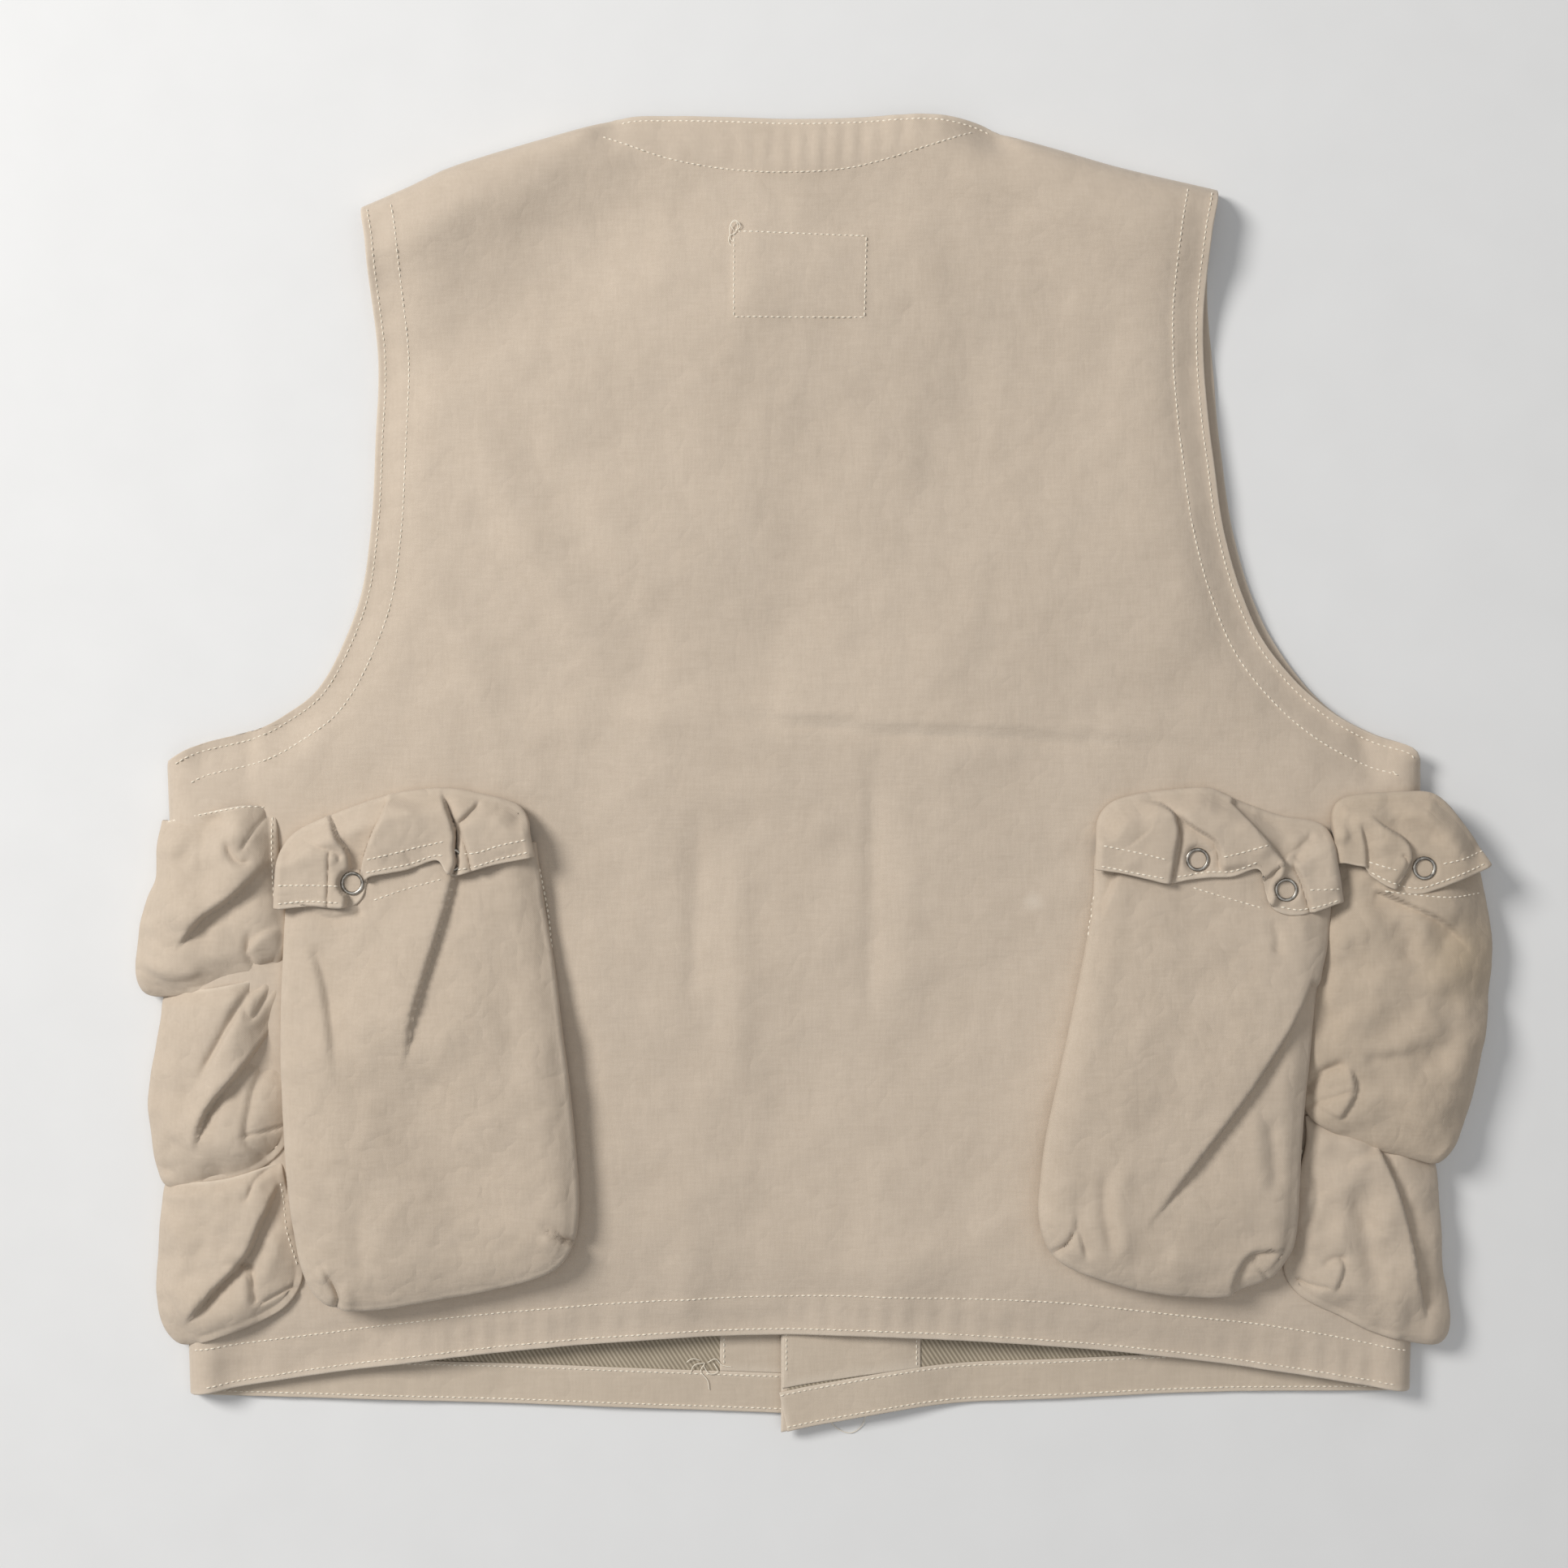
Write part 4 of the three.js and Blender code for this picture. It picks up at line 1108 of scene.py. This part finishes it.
SIDE_HEIGHTS = {
    "left_side_upper": side_face(256, 322, 7.5, [
        ([(-298, -84), (-285, -68), (-271, -58), (-260, -48), (-252, -38)], 4.2, 13, 3.4, 9, 0.6, (0.3, 0.3)),
        ([(-316, -88), (-300, -96), (-280, -92)], 1.0, 8, 1.2, 7, 2.0),
        ([(-247, -73), (-256, -75), (-266, -86)], 1.4, 7, 1.2, 5, 1.4),
    ], [
        ([(-272, -16), (-288, -32), (-300, -46)], -2.6, 5),
        ([(-254, -17), (-260, -26), (-266, -37)], -1.3, 0.9, (0.05, 0.1)),
        ([(-273, -30), (-270, -38), (-265, -42), (-259, -40)], -2.6, 1.7),
        ([(-262, -72), (-263, -83), (-259, -90), (-248, -87)], -2.2, 1.9, (0.2, 0.05)),
        ([(-282, -27), (-285, -37), (-283, -46)], -1.2, 2.5),
        ([(-279, -68), (-277, -80), (-280, -90)], 1.4, 6),
        ([(-262, -20), (-268, -28), (-278, -42)], 1.8, 5), ([(-312, -66), (-306, -76), (-308, -88)], 1.2, 6),
    ], 51, mouth=(0.80, 1.0, 6.0)),
    "left_side_middle": side_face(256, 318, 5.5, [
        (
            [(-289, -178), (-285, -162), (-279, -152), (-269, -141), (-260, -129), (-248, -112)], 3.8, 7, 3.4,
            8, 0.5, (0.25, 0.25)
        ),
        ([(-266, -172), (-264, -158), (-261, -143), (-250, -124)], 0.4, 4, 1.6, 4, 1.2, (0.1, 0.3)),
    ], [
        ([(-258, -97), (-266, -107), (-275, -123), (-288, -146)], -3.0, 2.2, (0.05, 0.3)),
        ([(-254, -104), (-263, -117), (-276, -137), (-286, -158)], 2.4, 6),
        ([(-263, -104), (-264, -110), (-261, -114), (-255, -104), (-249, -95)], -1.7, 1.3),
        ([(-266, -169), (-256, -167), (-245, -164)], -1.4, 0.9, (0.05, 0.02)),
        ([(-266, -170), (-261, -175), (-255, -180)], -1.4, 1.4),
        ([(-300, -130), (-297, -150), (-302, -176)], 1.3, 7),
        ([(-296, -168), (-304, -180), (-300, -190)], -1.3, 4),
        ([(-288, -172), (-278, -182), (-276, -190)], -1.0, 3),
    ], 53, mouth=(0.9, 1.0, 3.0), lift=-0.8),
    "left_side_lower": side_face(254, 314, 5.0, [
        (
            [
                (-295, -259), (-281, -242), (-269, -230), (-263, -222), (-259, -212), (-254, -201),
                (-249, -188)
            ],
            3.8, 10, 3.4, 8, 0.5, (0.2, 0.2)
        ),
        ([(-262, -248), (-262, -240), (-266, -231), (-276, -229)], 1.0, 5, 1.4, 4, 1.0),
    ], [
        ([(-266, -194), (-264, -199), (-260, -190), (-252, -184)], -1.8, 1.4),
        ([(-270, -230), (-262, -232), (-262, -242), (-259, -248)], -2.2, 1.9, (0.1, 0.1)),
        ([(-259, -248), (-250, -243), (-240, -238)], -1.4, 0.9, (0.05, 0.02)),
        ([(-250, -215), (-252, -228), (-256, -238)], 1.2, 4),
        ([(-300, -205), (-296, -225), (-300, -248)], 1.2, 7),
        ([(-283, -205), (-286, -220), (-292, -232)], -1.0, 4),
    ], 55, mouth=(0.9, 1.0, 3.0), lift=-1.6),
    "right_side_upper": side_face(262, 324, 5.5, [
        ([(260, -53), (275, -60), (290, -67), (301, -76), (308, -86)], 2.8, 12, 2.6, 8, 0.7, (0.08, 0.45)),
        ([(244, -161), (251, -147), (248, -135)], 1.8, 8, 1.6, 5, 1.1, (0.1, 0.2)),
    ], [
        ([(256, -48), (262, -60), (272, -72), (276, -84)], -2.4, 6),
        ([(270, -66), (278, -76), (275, -90)], -1.8, 4),
        ([(229, -149), (236, -140), (248, -134)], -3.0, 2.6, (0.05, 0.15)),
        ([(231, -155), (241, -151), (251, -147)], -1.3, 0.9, (0.02, 0.1)),
        ([(252, -133), (267, -132), (284, -130)], -1.6, 3.2),
        ([(296, -100), (303, -120), (298, -150)], 1.4, 9), ([(289, -96), (294, -116), (290, -140)], -1.3, 7),
        ([(248, -60), (243, -85), (239, -115)], 1.2, 6), ([(257, -90), (262, -105), (260, -120)], 1.0, 9),
        ([(262, -145), (278, -160), (290, -176)], 0.9, 8),
    ], 57, drop=9, lift=3.0, mouth=(0.72, 1.0, 4.5)),
    "right_side_lower": side_face(258, 306, 4.5, [
        (
            [(287, -257), (282, -236), (277, -212), (271, -192), (263, -174)], 3.2, 14, 3.0, 7, 0.6,
            (0.2, 0.05)
        ),
        ([(242, -242), (246, -230), (243, -224)], 1.2, 6, 1.2, 4, 1.0),
    ], [
        ([(226, -236), (234, -239), (242, -239)], -1.4, 0.9, (0.02, 0.1)),
        ([(232, -186), (235, -198), (228, -214)], -1.4, 2.6),
        ([(256, -200), (260, -220), (261, -244)], -1.6, 5), ([(246, -185), (248, -205), (246, -220)], 1.2, 6),
        ([(290, -200), (293, -225), (296, -245)], 1.0, 4),
        ([(250, -226), (243, -226), (236, -230)], -1.2, 1.8),
    ], 59, mouth=(0.9, 1.0, 3.0), lift=-1.0, drop=8),
}

pocket = {}
pocket["left_back"] = bag(
    "left_back_bag", LEFT_BACK_RIM, ((-230, -240), (-117, -221)), [(-240, -34), (-190, -27), (-133, -32)],
    left_back_face, on_back, piping=0.9,
)
pocket["right_back"] = bag(
    "right_back_bag", RIGHT_BACK_RIM, ((112, -219), (217, -225)), [(136, -38), (185, -30), (237, -44)],
    right_back_face, on_back, piping=0.3,
)
for name in SIDE_RIMS:
    pocket[name] = bag(
        f"{name}_bag", SIDE_RIMS[name], SIDE_CORNERS[name], SIDE_MOUTHS[name], SIDE_HEIGHTS[name],
        floor_or_back, turn=3.2, cell=1.2, lean=1.0, lean_in=0.7
    )
BAG_ROWS = {
    "left_back": [[(-204, -59), (-190, -54), (-172, -49)], [(-128, -44), (-124, -66), (-122, -82)]],
    "right_back": [[(176, -53), (189, -57), (208, -62.5)], [(133, -46), (131, -58), (128, -76)]],
    "left_side_upper": [
        [(-304, -23), (-285, -19), (-265, -15.7), (-256, -16)], [(-253, -20), (-252.5, -40), (-251.5, -58)]
    ],
    "left_side_middle": [],
    "left_side_lower": [[(-249, -191), (-246, -212), (-241, -230)]],
    "right_side_upper": [[(264, -54.5), (280, -56.5), (296, -57.5), (313, -56)]],
    "right_side_lower": [[(229, -176), (226, -192), (224, -208)]],
}
for name, cloth in pocket.items():
    skin = khaki_stained if name == "right_side_upper" else khaki_worn
    dressed(cloth.piece, skin, "khaki_cotton")
    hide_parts(f"{name}_pocket")
    attach(cloth.piece, "vest_body")
    extra = []
    if BAG_ROWS[name]:
        extra = [attach(stitches(f"{name}_bag_stitches", cloth, BAG_ROWS[name]), "vest_body")]
    declare(cloth, *cloth.cut[:2], "gathered", [back.piece], extra, cloth.cut[2])


# ---------------------------------------------------------------- flaps
def flap_base(top_line):
    line = curve(top_line, count=20)

    def base(x, y):
        """The back's face along the sewn edge, and just above the pocket's mouth down the sides."""
        d = np.abs(near(x, y, line)[1])
        return np.minimum(on_back(x, y) - 0.3, 18.5) * (1 - step(5, 15, d)) + 25.0 * step(5, 15, d)

    return base


def level(z, x, y, rings, top=27.2):
    """Draws the cloth level at the snaps, so that a ring lies flat on it."""
    for cx, cy, reach in rings:
        flat = 1 - step(5.6, reach, np.hypot(x - cx, y - cy))
        z = z * (1 - flat) + top * flat
    return z


LEFT_FLAP_TOP = [
    (-246, -32), (-240, -27), (-225, -20), (-212, -15), (-196, -10), (-179, -7.6), (-168, -7.6), (-157, -9.5),
    (-142, -13), (-136, -17)
]
LEFT_FLAP_RIM = [
    (-129.5, -39), (-131.5, -30), (-134, -20), (-140, -14), (-157, -9.5), (-168, -7.6), (-179, -7.6),
    (-196, -10), (-212, -15), (-225, -20), (-240, -27), (-247, -35), (-249, -46), (-250, -63)
]
LEFT_FLAP_END = [
    (-129, -39), (-145, -42), (-156, -45), (-163, -47), (-167, -46.8), (-169.5, -44), (-172, -40.4),
    (-176, -40.4), (-187, -44.3), (-196, -46), (-205, -47.6), (-207.5, -50), (-209, -56), (-212, -60),
    (-217, -62), (-225, -62.3), (-234, -61.5), (-250, -63)
]


def left_flap_face(x, y, u, v):
    """Rises from its seam, then three box-shaped panels: a cliff down to the ring's valley, and a pinched
    slot."""
    d = np.abs(near(x, y, curve(LEFT_FLAP_TOP, count=20))[1])
    z = 21.0 + 8.3 * step(-1, 12, d)
    folds = [
        (
            [(-217, -63), (-215.3, -47), (-216.2, -37), (-221, -30), (-226, -20), (-229, -16)], 3.2, 18, 2.6,
            9, 0.7, (0.01, 0.3)
        ),
        (
            [(-197, -10), (-200, -21), (-203.5, -28), (-207.7, -39), (-210, -49)], 3.4, 20, 2.4, 9, 0.7,
            (0.15, 0.01)
        ),
        (
            [
                (-168, -47), (-166.2, -42), (-166.6, -35), (-166.4, -28), (-168, -22), (-170.6, -16),
                (-174, -9)
            ],
            2.6, 10, 4.4, 2.6, 0.6, (0.01, 0.2)
        ),
        (
            [(-164, -22), (-163.2, -24.5), (-161.9, -29), (-159.4, -37), (-157.3, -46)], 1.2, 10, 1.6, 1.6,
            0.6, (0.1, 0.01)
        ),
        ([(-165, -23), (-160, -18), (-155, -12.5)], 0.8, 5, 2.0, 3.4, 1.0, (0.1, 0.3)),
        ([(-219, -41), (-222, -37.2), (-229, -35.6), (-238, -32)], 1.0, 6, 1.4, 3, 0.9, (0.1, 0.4)),
    ]
    ridges = [
        ([(-223.8, -36), (-224.3, -48), (-224.7, -63)], -1.5, 0.8, (0.05, 0.01)),
        ([(-190, -36), (-185, -42), (-182, -46)], -0.8, 1.6),
        ([(-206, -30), (-202, -36), (-196, -40)], 0.7, 3), ([(-240, -36), (-236, -48), (-237, -60)], 1.0, 6),
        ([(-190, -14), (-184, -24), (-180, -36)], 0.8, 6),
        ([(-146, -16), (-143, -26), (-145, -40)], 1.2, 7),
        ([(-160.5, -45), (-163.5, -42), (-164, -36)], 0.8, 1.8),
        ([(-133.5, -22), (-132, -30), (-131, -38)], 0.9, 1.4, (0.1, 0.02)),
    ]
    z = z + relief(x, y, folds, ridges)
    z = z + ripples(x, y, 61, 10, 40, 0.05, 20) + ripples(x, y, 62, 5, 10, 0.03, 20)
    return level(z, x, y, [(-213.6, -51.0, 7.5)])


RIGHT_FLAP_TOP = [
    (133, -22), (138, -15), (145, -11.7), (159, -9), (179, -7.2), (187, -8), (193, -12), (207, -16.5),
    (220, -20.7), (228, -22), (236, -22.8)
]
RIGHT_FLAP_RIM = [
    (245.5, -60), (242.5, -42), (241, -31), (238, -25), (232, -22.5), (220, -20.7), (207, -16.5), (193, -11),
    (187, -7.8), (179, -7.2), (159, -9), (145, -11.7), (138, -15), (133.5, -21), (132, -30), (131, -45)
]
RIGHT_FLAP_END = [
    (245.5, -60), (237, -63), (230, -65), (224, -65.7), (218, -64.6), (213, -61.5), (210.3, -55),
    (208.8, -48), (205, -44), (194, -47.7), (183, -48.2), (173, -49.3), (163, -51), (153, -49), (141, -46.4),
    (131, -45)
]


def right_flap_face(x, y, u, v):
    """Rises from its seam: a bulged panel, the first ring's valley, a panel that laps diagonally over the
    second ring's."""
    d = np.abs(near(x, y, curve(RIGHT_FLAP_TOP, count=20))[1])
    z = 21.0 + 8.0 * step(-1, 12, d)
    folds = [
        (
            [
                (164.5, -52), (166.5, -40), (168.4, -28), (167.6, -22), (165.5, -18), (160, -14.6),
                (151, -13.8)
            ],
            2.8, 16, 1.4, 3.5, 0.6, (0.01, 0.2)
        ),
        (
            [(189.5, -46), (188, -36), (185, -30.3), (176, -24.5), (166, -17)][::-1], 2.8, 14, 1.6, 5, 0.7,
            (0.25, 0.1)
        ),
        ([(222.4, -41.3), (226.3, -49), (228.8, -56.7), (231.4, -66)], 1.6, 12, 1.8, 3, 0.6, (0.1, 0.01)),
        ([(221, -42), (224, -37.4), (233, -28.6)], -0.4, 3, 0.0, 4, 1.0, (0.1, 0.3)),
    ]
    ridges = [
        ([(217.5, -41), (215, -50), (211.5, -61)], 3.0, 1.7, (0.05, 0.05)),
        ([(222, -42), (226, -36), (234, -28)], -2.2, 2.2), ([(199, -20), (205, -30), (210, -40)], 1.4, 6),
        ([(166.8, -19), (170, -30), (168, -46)], -1.0, 1.0), ([(150, -20), (146, -32), (150, -46)], 1.2, 8),
        ([(237, -30), (239, -42), (240, -58)], 1.6, 5),
        ([(205, -18), (216, -27), (221, -36)], -1.2, 4),
    ]
    z = z + relief(x, y, folds, ridges)
    lap = curve([(217.8, -41.5), (212, -34.5), (204.4, -25.8), (196.7, -16.8), (188, -7.5)], count=24)
    s, e = near(x, y, lap)
    above = step(-0.7, 0.7, e)
    stepped = 3.0 * bell(np.maximum(e, 0), 15) * above - 2.2 * bell(np.minimum(e, 0), 14) * (1 - above)
    z = z + stepped * step(0, 0.02, s) * step(0, 0.3, 1 - s)
    z = z + ripples(x, y, 63, 10, 40, 0.045, 20) + ripples(x, y, 64, 5, 10, 0.025, 20)
    return level(z, x, y, [(178, -40, 7.8), (219, -54, 6.8)])


SIDE_FLAP_TOP = [(243, -18), (248, -12), (261, -9.8), (287, -8.9), (292, -12.5), (302, -23), (310, -33)]
SIDE_FLAP_RIM = [
    (315.5, -43), (310, -33), (302, -22.5), (294, -13), (287, -9.2), (276, -9), (261, -9.8), (249, -11.5),
    (243.5, -16), (242, -26), (243.5, -42)
]
SIDE_FLAP_END = [
    (315.5, -43), (310, -45.3), (298, -50), (290, -53), (279, -55.8), (266, -53), (257, -48), (254, -44),
    (249, -43), (243.5, -42)
]


def side_flap_face(x, y, u, v):
    """Rises from its seam, with a lobe beside the ring and a long soft hollow above it."""
    d = np.abs(near(x, y, curve(SIDE_FLAP_TOP, count=20))[1])
    z = 20.5 + 8.2 * step(-1, 12, d) - 3.5 * step(296, 316, x)
    folds = [
        (
            [(268, -56), (274, -46), (276.5, -38), (273.5, -31), (264, -25), (256, -18)], 3.0, 12, 1.6, 5,
            0.7, (0.01, 0.3)
        ),
        ([(256, -48), (255.5, -35), (253, -22)], 0.6, 5, 2.2, 7, 1.2, (0.05, 0.3)),
    ]
    ridges = [
        ([(262, -13), (272, -22), (286, -29), (294, -32)], -2.8, 5.5),
        ([(272, -37), (274.5, -42), (269, -52)], -1.4, 0.9, (0.1, 0.05)),
        ([(250, -14), (246, -22), (245, -34)], 1.6, 2.5), ([(284, -14), (298, -24), (308, -38)], 1.6, 7),
        ([(262, -30), (262, -40), (264, -48)], 1.0, 5),
    ]
    z = z + relief(x, y, folds, ridges)
    z = z + ripples(x, y, 65, 10, 40, 0.05, 20) + ripples(x, y, 66, 5, 10, 0.025, 20)
    return level(z, x, y, [(283, -44, 7.4)])


FLAP_SIZES = {"left_back": (130, 62), "right_back": (130, 62), "right_side": (84, 56)}  # as cut
FLAP_CORNERS = {
    "left_back": ((-136, -18), (-244, -32)), "right_back": ((238, -27), (136, -19)),
    "right_side": ((292, -14), (246, -15)),
}
FLAPS = {  # rim, lower edge, height, seam, rows of stitches
    "left_back": (LEFT_FLAP_RIM, LEFT_FLAP_END, left_flap_face, LEFT_FLAP_TOP, [
        [(-248, -52), (-232, -51.8), (-219, -52.2)], [(-248, -60.5), (-234, -59.2), (-219, -59.8)],
        [(-206.5, -40), (-192, -36.6), (-184, -34.4), (-170.5, -31.5)],
        [(-207, -46), (-196, -43.8), (-187, -42), (-176, -38.2), (-171, -38)],
        [(-162, -37.4), (-155, -36.6), (-145, -33.4), (-133, -30.8)],
        [(-165, -44.8), (-156, -43), (-145, -39.5), (-132, -36.6)],
    ]),
    "right_back": (RIGHT_FLAP_RIM, RIGHT_FLAP_END, right_flap_face, RIGHT_FLAP_TOP, [
        [(134, -33.5), (150, -36.8), (163, -40)], [(133, -43), (150, -46.4), (162, -48.6)],
        [(189, -38.8), (197, -36.8), (210, -33)], [(168, -48), (182, -45.8), (194, -45.2), (205, -41)],
        [(229, -54), (244, -53.5)], [(216, -61.8), (224, -63.2), (232, -62), (243, -58.8)],
    ]),
    "right_side": (SIDE_FLAP_RIM, SIDE_FLAP_END, side_flap_face, SIDE_FLAP_TOP, [
        [(257, -41), (263, -43), (270, -45)], [(291, -42), (300, -40), (313, -36)],
        [(258, -46), (267, -50.5), (279, -53.2), (290, -50.5), (312, -42)],
    ]),
}
for name, (rim, end, height, top_line, rows) in FLAPS.items():
    cloth = bag(
        f"{name}_flap_sheet", rim, FLAP_CORNERS[name], end, height, flap_base(top_line),
        turn=2.6, lean=0.6, cell=0.8, blunt=2,
    )
    dressed(cloth.piece, khaki_stained if name == "right_side" else khaki_worn, "khaki_cotton")
    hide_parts(f"{name}_flap")
    threads = stitches(f"{name}_flap_stitches", cloth, rows, pitch=2.6, wide=0.66)
    attach(cloth.piece, f"{name}_flap")
    attach(threads, f"{name}_flap")
    under = pocket["right_side_upper" if name == "right_side" else name]
    declare(cloth, *FLAP_SIZES[name], "folded", [under.piece], [threads])


# ---------------------------------------------------------------- snaps
def snap_ring(name, node, body):
    """A ring whose section is an ellipse: carried round its circle, outer radius 5.5 and inner radius 3.9."""
    low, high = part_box(node)
    cx, cy, cz = (low.x + high.x) / 2 / MM, (low.y + high.y) / 2 / MM, low.z / MM
    turns, rounds = 64, 14
    a = np.linspace(0, 2 * np.pi, turns, endpoint=False)[:, None]
    b = np.linspace(0, 2 * np.pi, rounds, endpoint=False)[None]
    r = 4.7 + 0.8 * np.cos(b)
    z = cz + 0.25 + 0.55 * np.sin(b) + 0 * a
    points = np.stack([cx + r * np.cos(a), cy + r * np.sin(a), z], -1).reshape(-1, 3)
    i = np.arange(turns * rounds).reshape(turns, rounds)
    j, k = np.roll(i, -1, 0), np.roll(i, -1, 1)
    faces = np.stack([i, j, np.roll(j, -1, 1), k], -1).reshape(-1, 4)
    piece = dressed(mesh_object(name, points, faces), nickel, "snap_steel")
    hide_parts(node)
    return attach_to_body(piece, body)


for node in (
    "left_back_snap_ring_1", "left_back_snap_ring_2", "right_back_snap_ring_1", "right_back_snap_ring_2",
    "right_side_snap_ring",
):
    snap_ring(node.replace("snap_ring", "ring"), node, node.split("_snap_ring")[0] + "_flap")
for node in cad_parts.values():
    if not node.hide_render:
        node.data.materials.clear()
        node.data.materials.append(nickel)


# ---------------------------------------------------------------- floor and light
floor = mesh_object(
    "floor", [(-6000, -6000, 0), (6000, -6000, 0), (6000, 6000, 0), (-6000, 6000, 0)], [(0, 1, 2, 3)]
)
floor.data.materials.append(floor_material())
floor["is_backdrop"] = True


def lamp(name, place, size, power, colour):
    data = bpy.data.lights.new(name, "AREA")
    data.shape, data.size, data.energy, data.color = "DISK", size, power, colour
    piece = bpy.data.objects.new(name, data)
    piece.location = place
    piece.rotation_euler = Vector([-c for c in place]).to_track_quat("-Z", "Y").to_euler()
    bpy.context.scene.collection.objects.link(piece)


lamp("window", (-1.75, 0.95, 1.85), 0.95, 61, (1.0, 0.985, 0.965))
lamp("ceiling", (0.3, -0.2, 2.6), 2.4, 14, (1.0, 0.99, 0.98))
world = bpy.data.worlds.new("room")
world.use_nodes = True
background = world.node_tree.nodes["Background"]
background.inputs["Color"].default_value = (0.95, 0.97, 1.0, 1)
background.inputs["Strength"].default_value = 0.29
bpy.context.scene.world = world
bpy.context.scene.view_settings.view_transform = "Standard"

bpy.context.view_layer.update()
low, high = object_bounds()
{"cad": cad_box, "visual": [list(low), list(high)]}
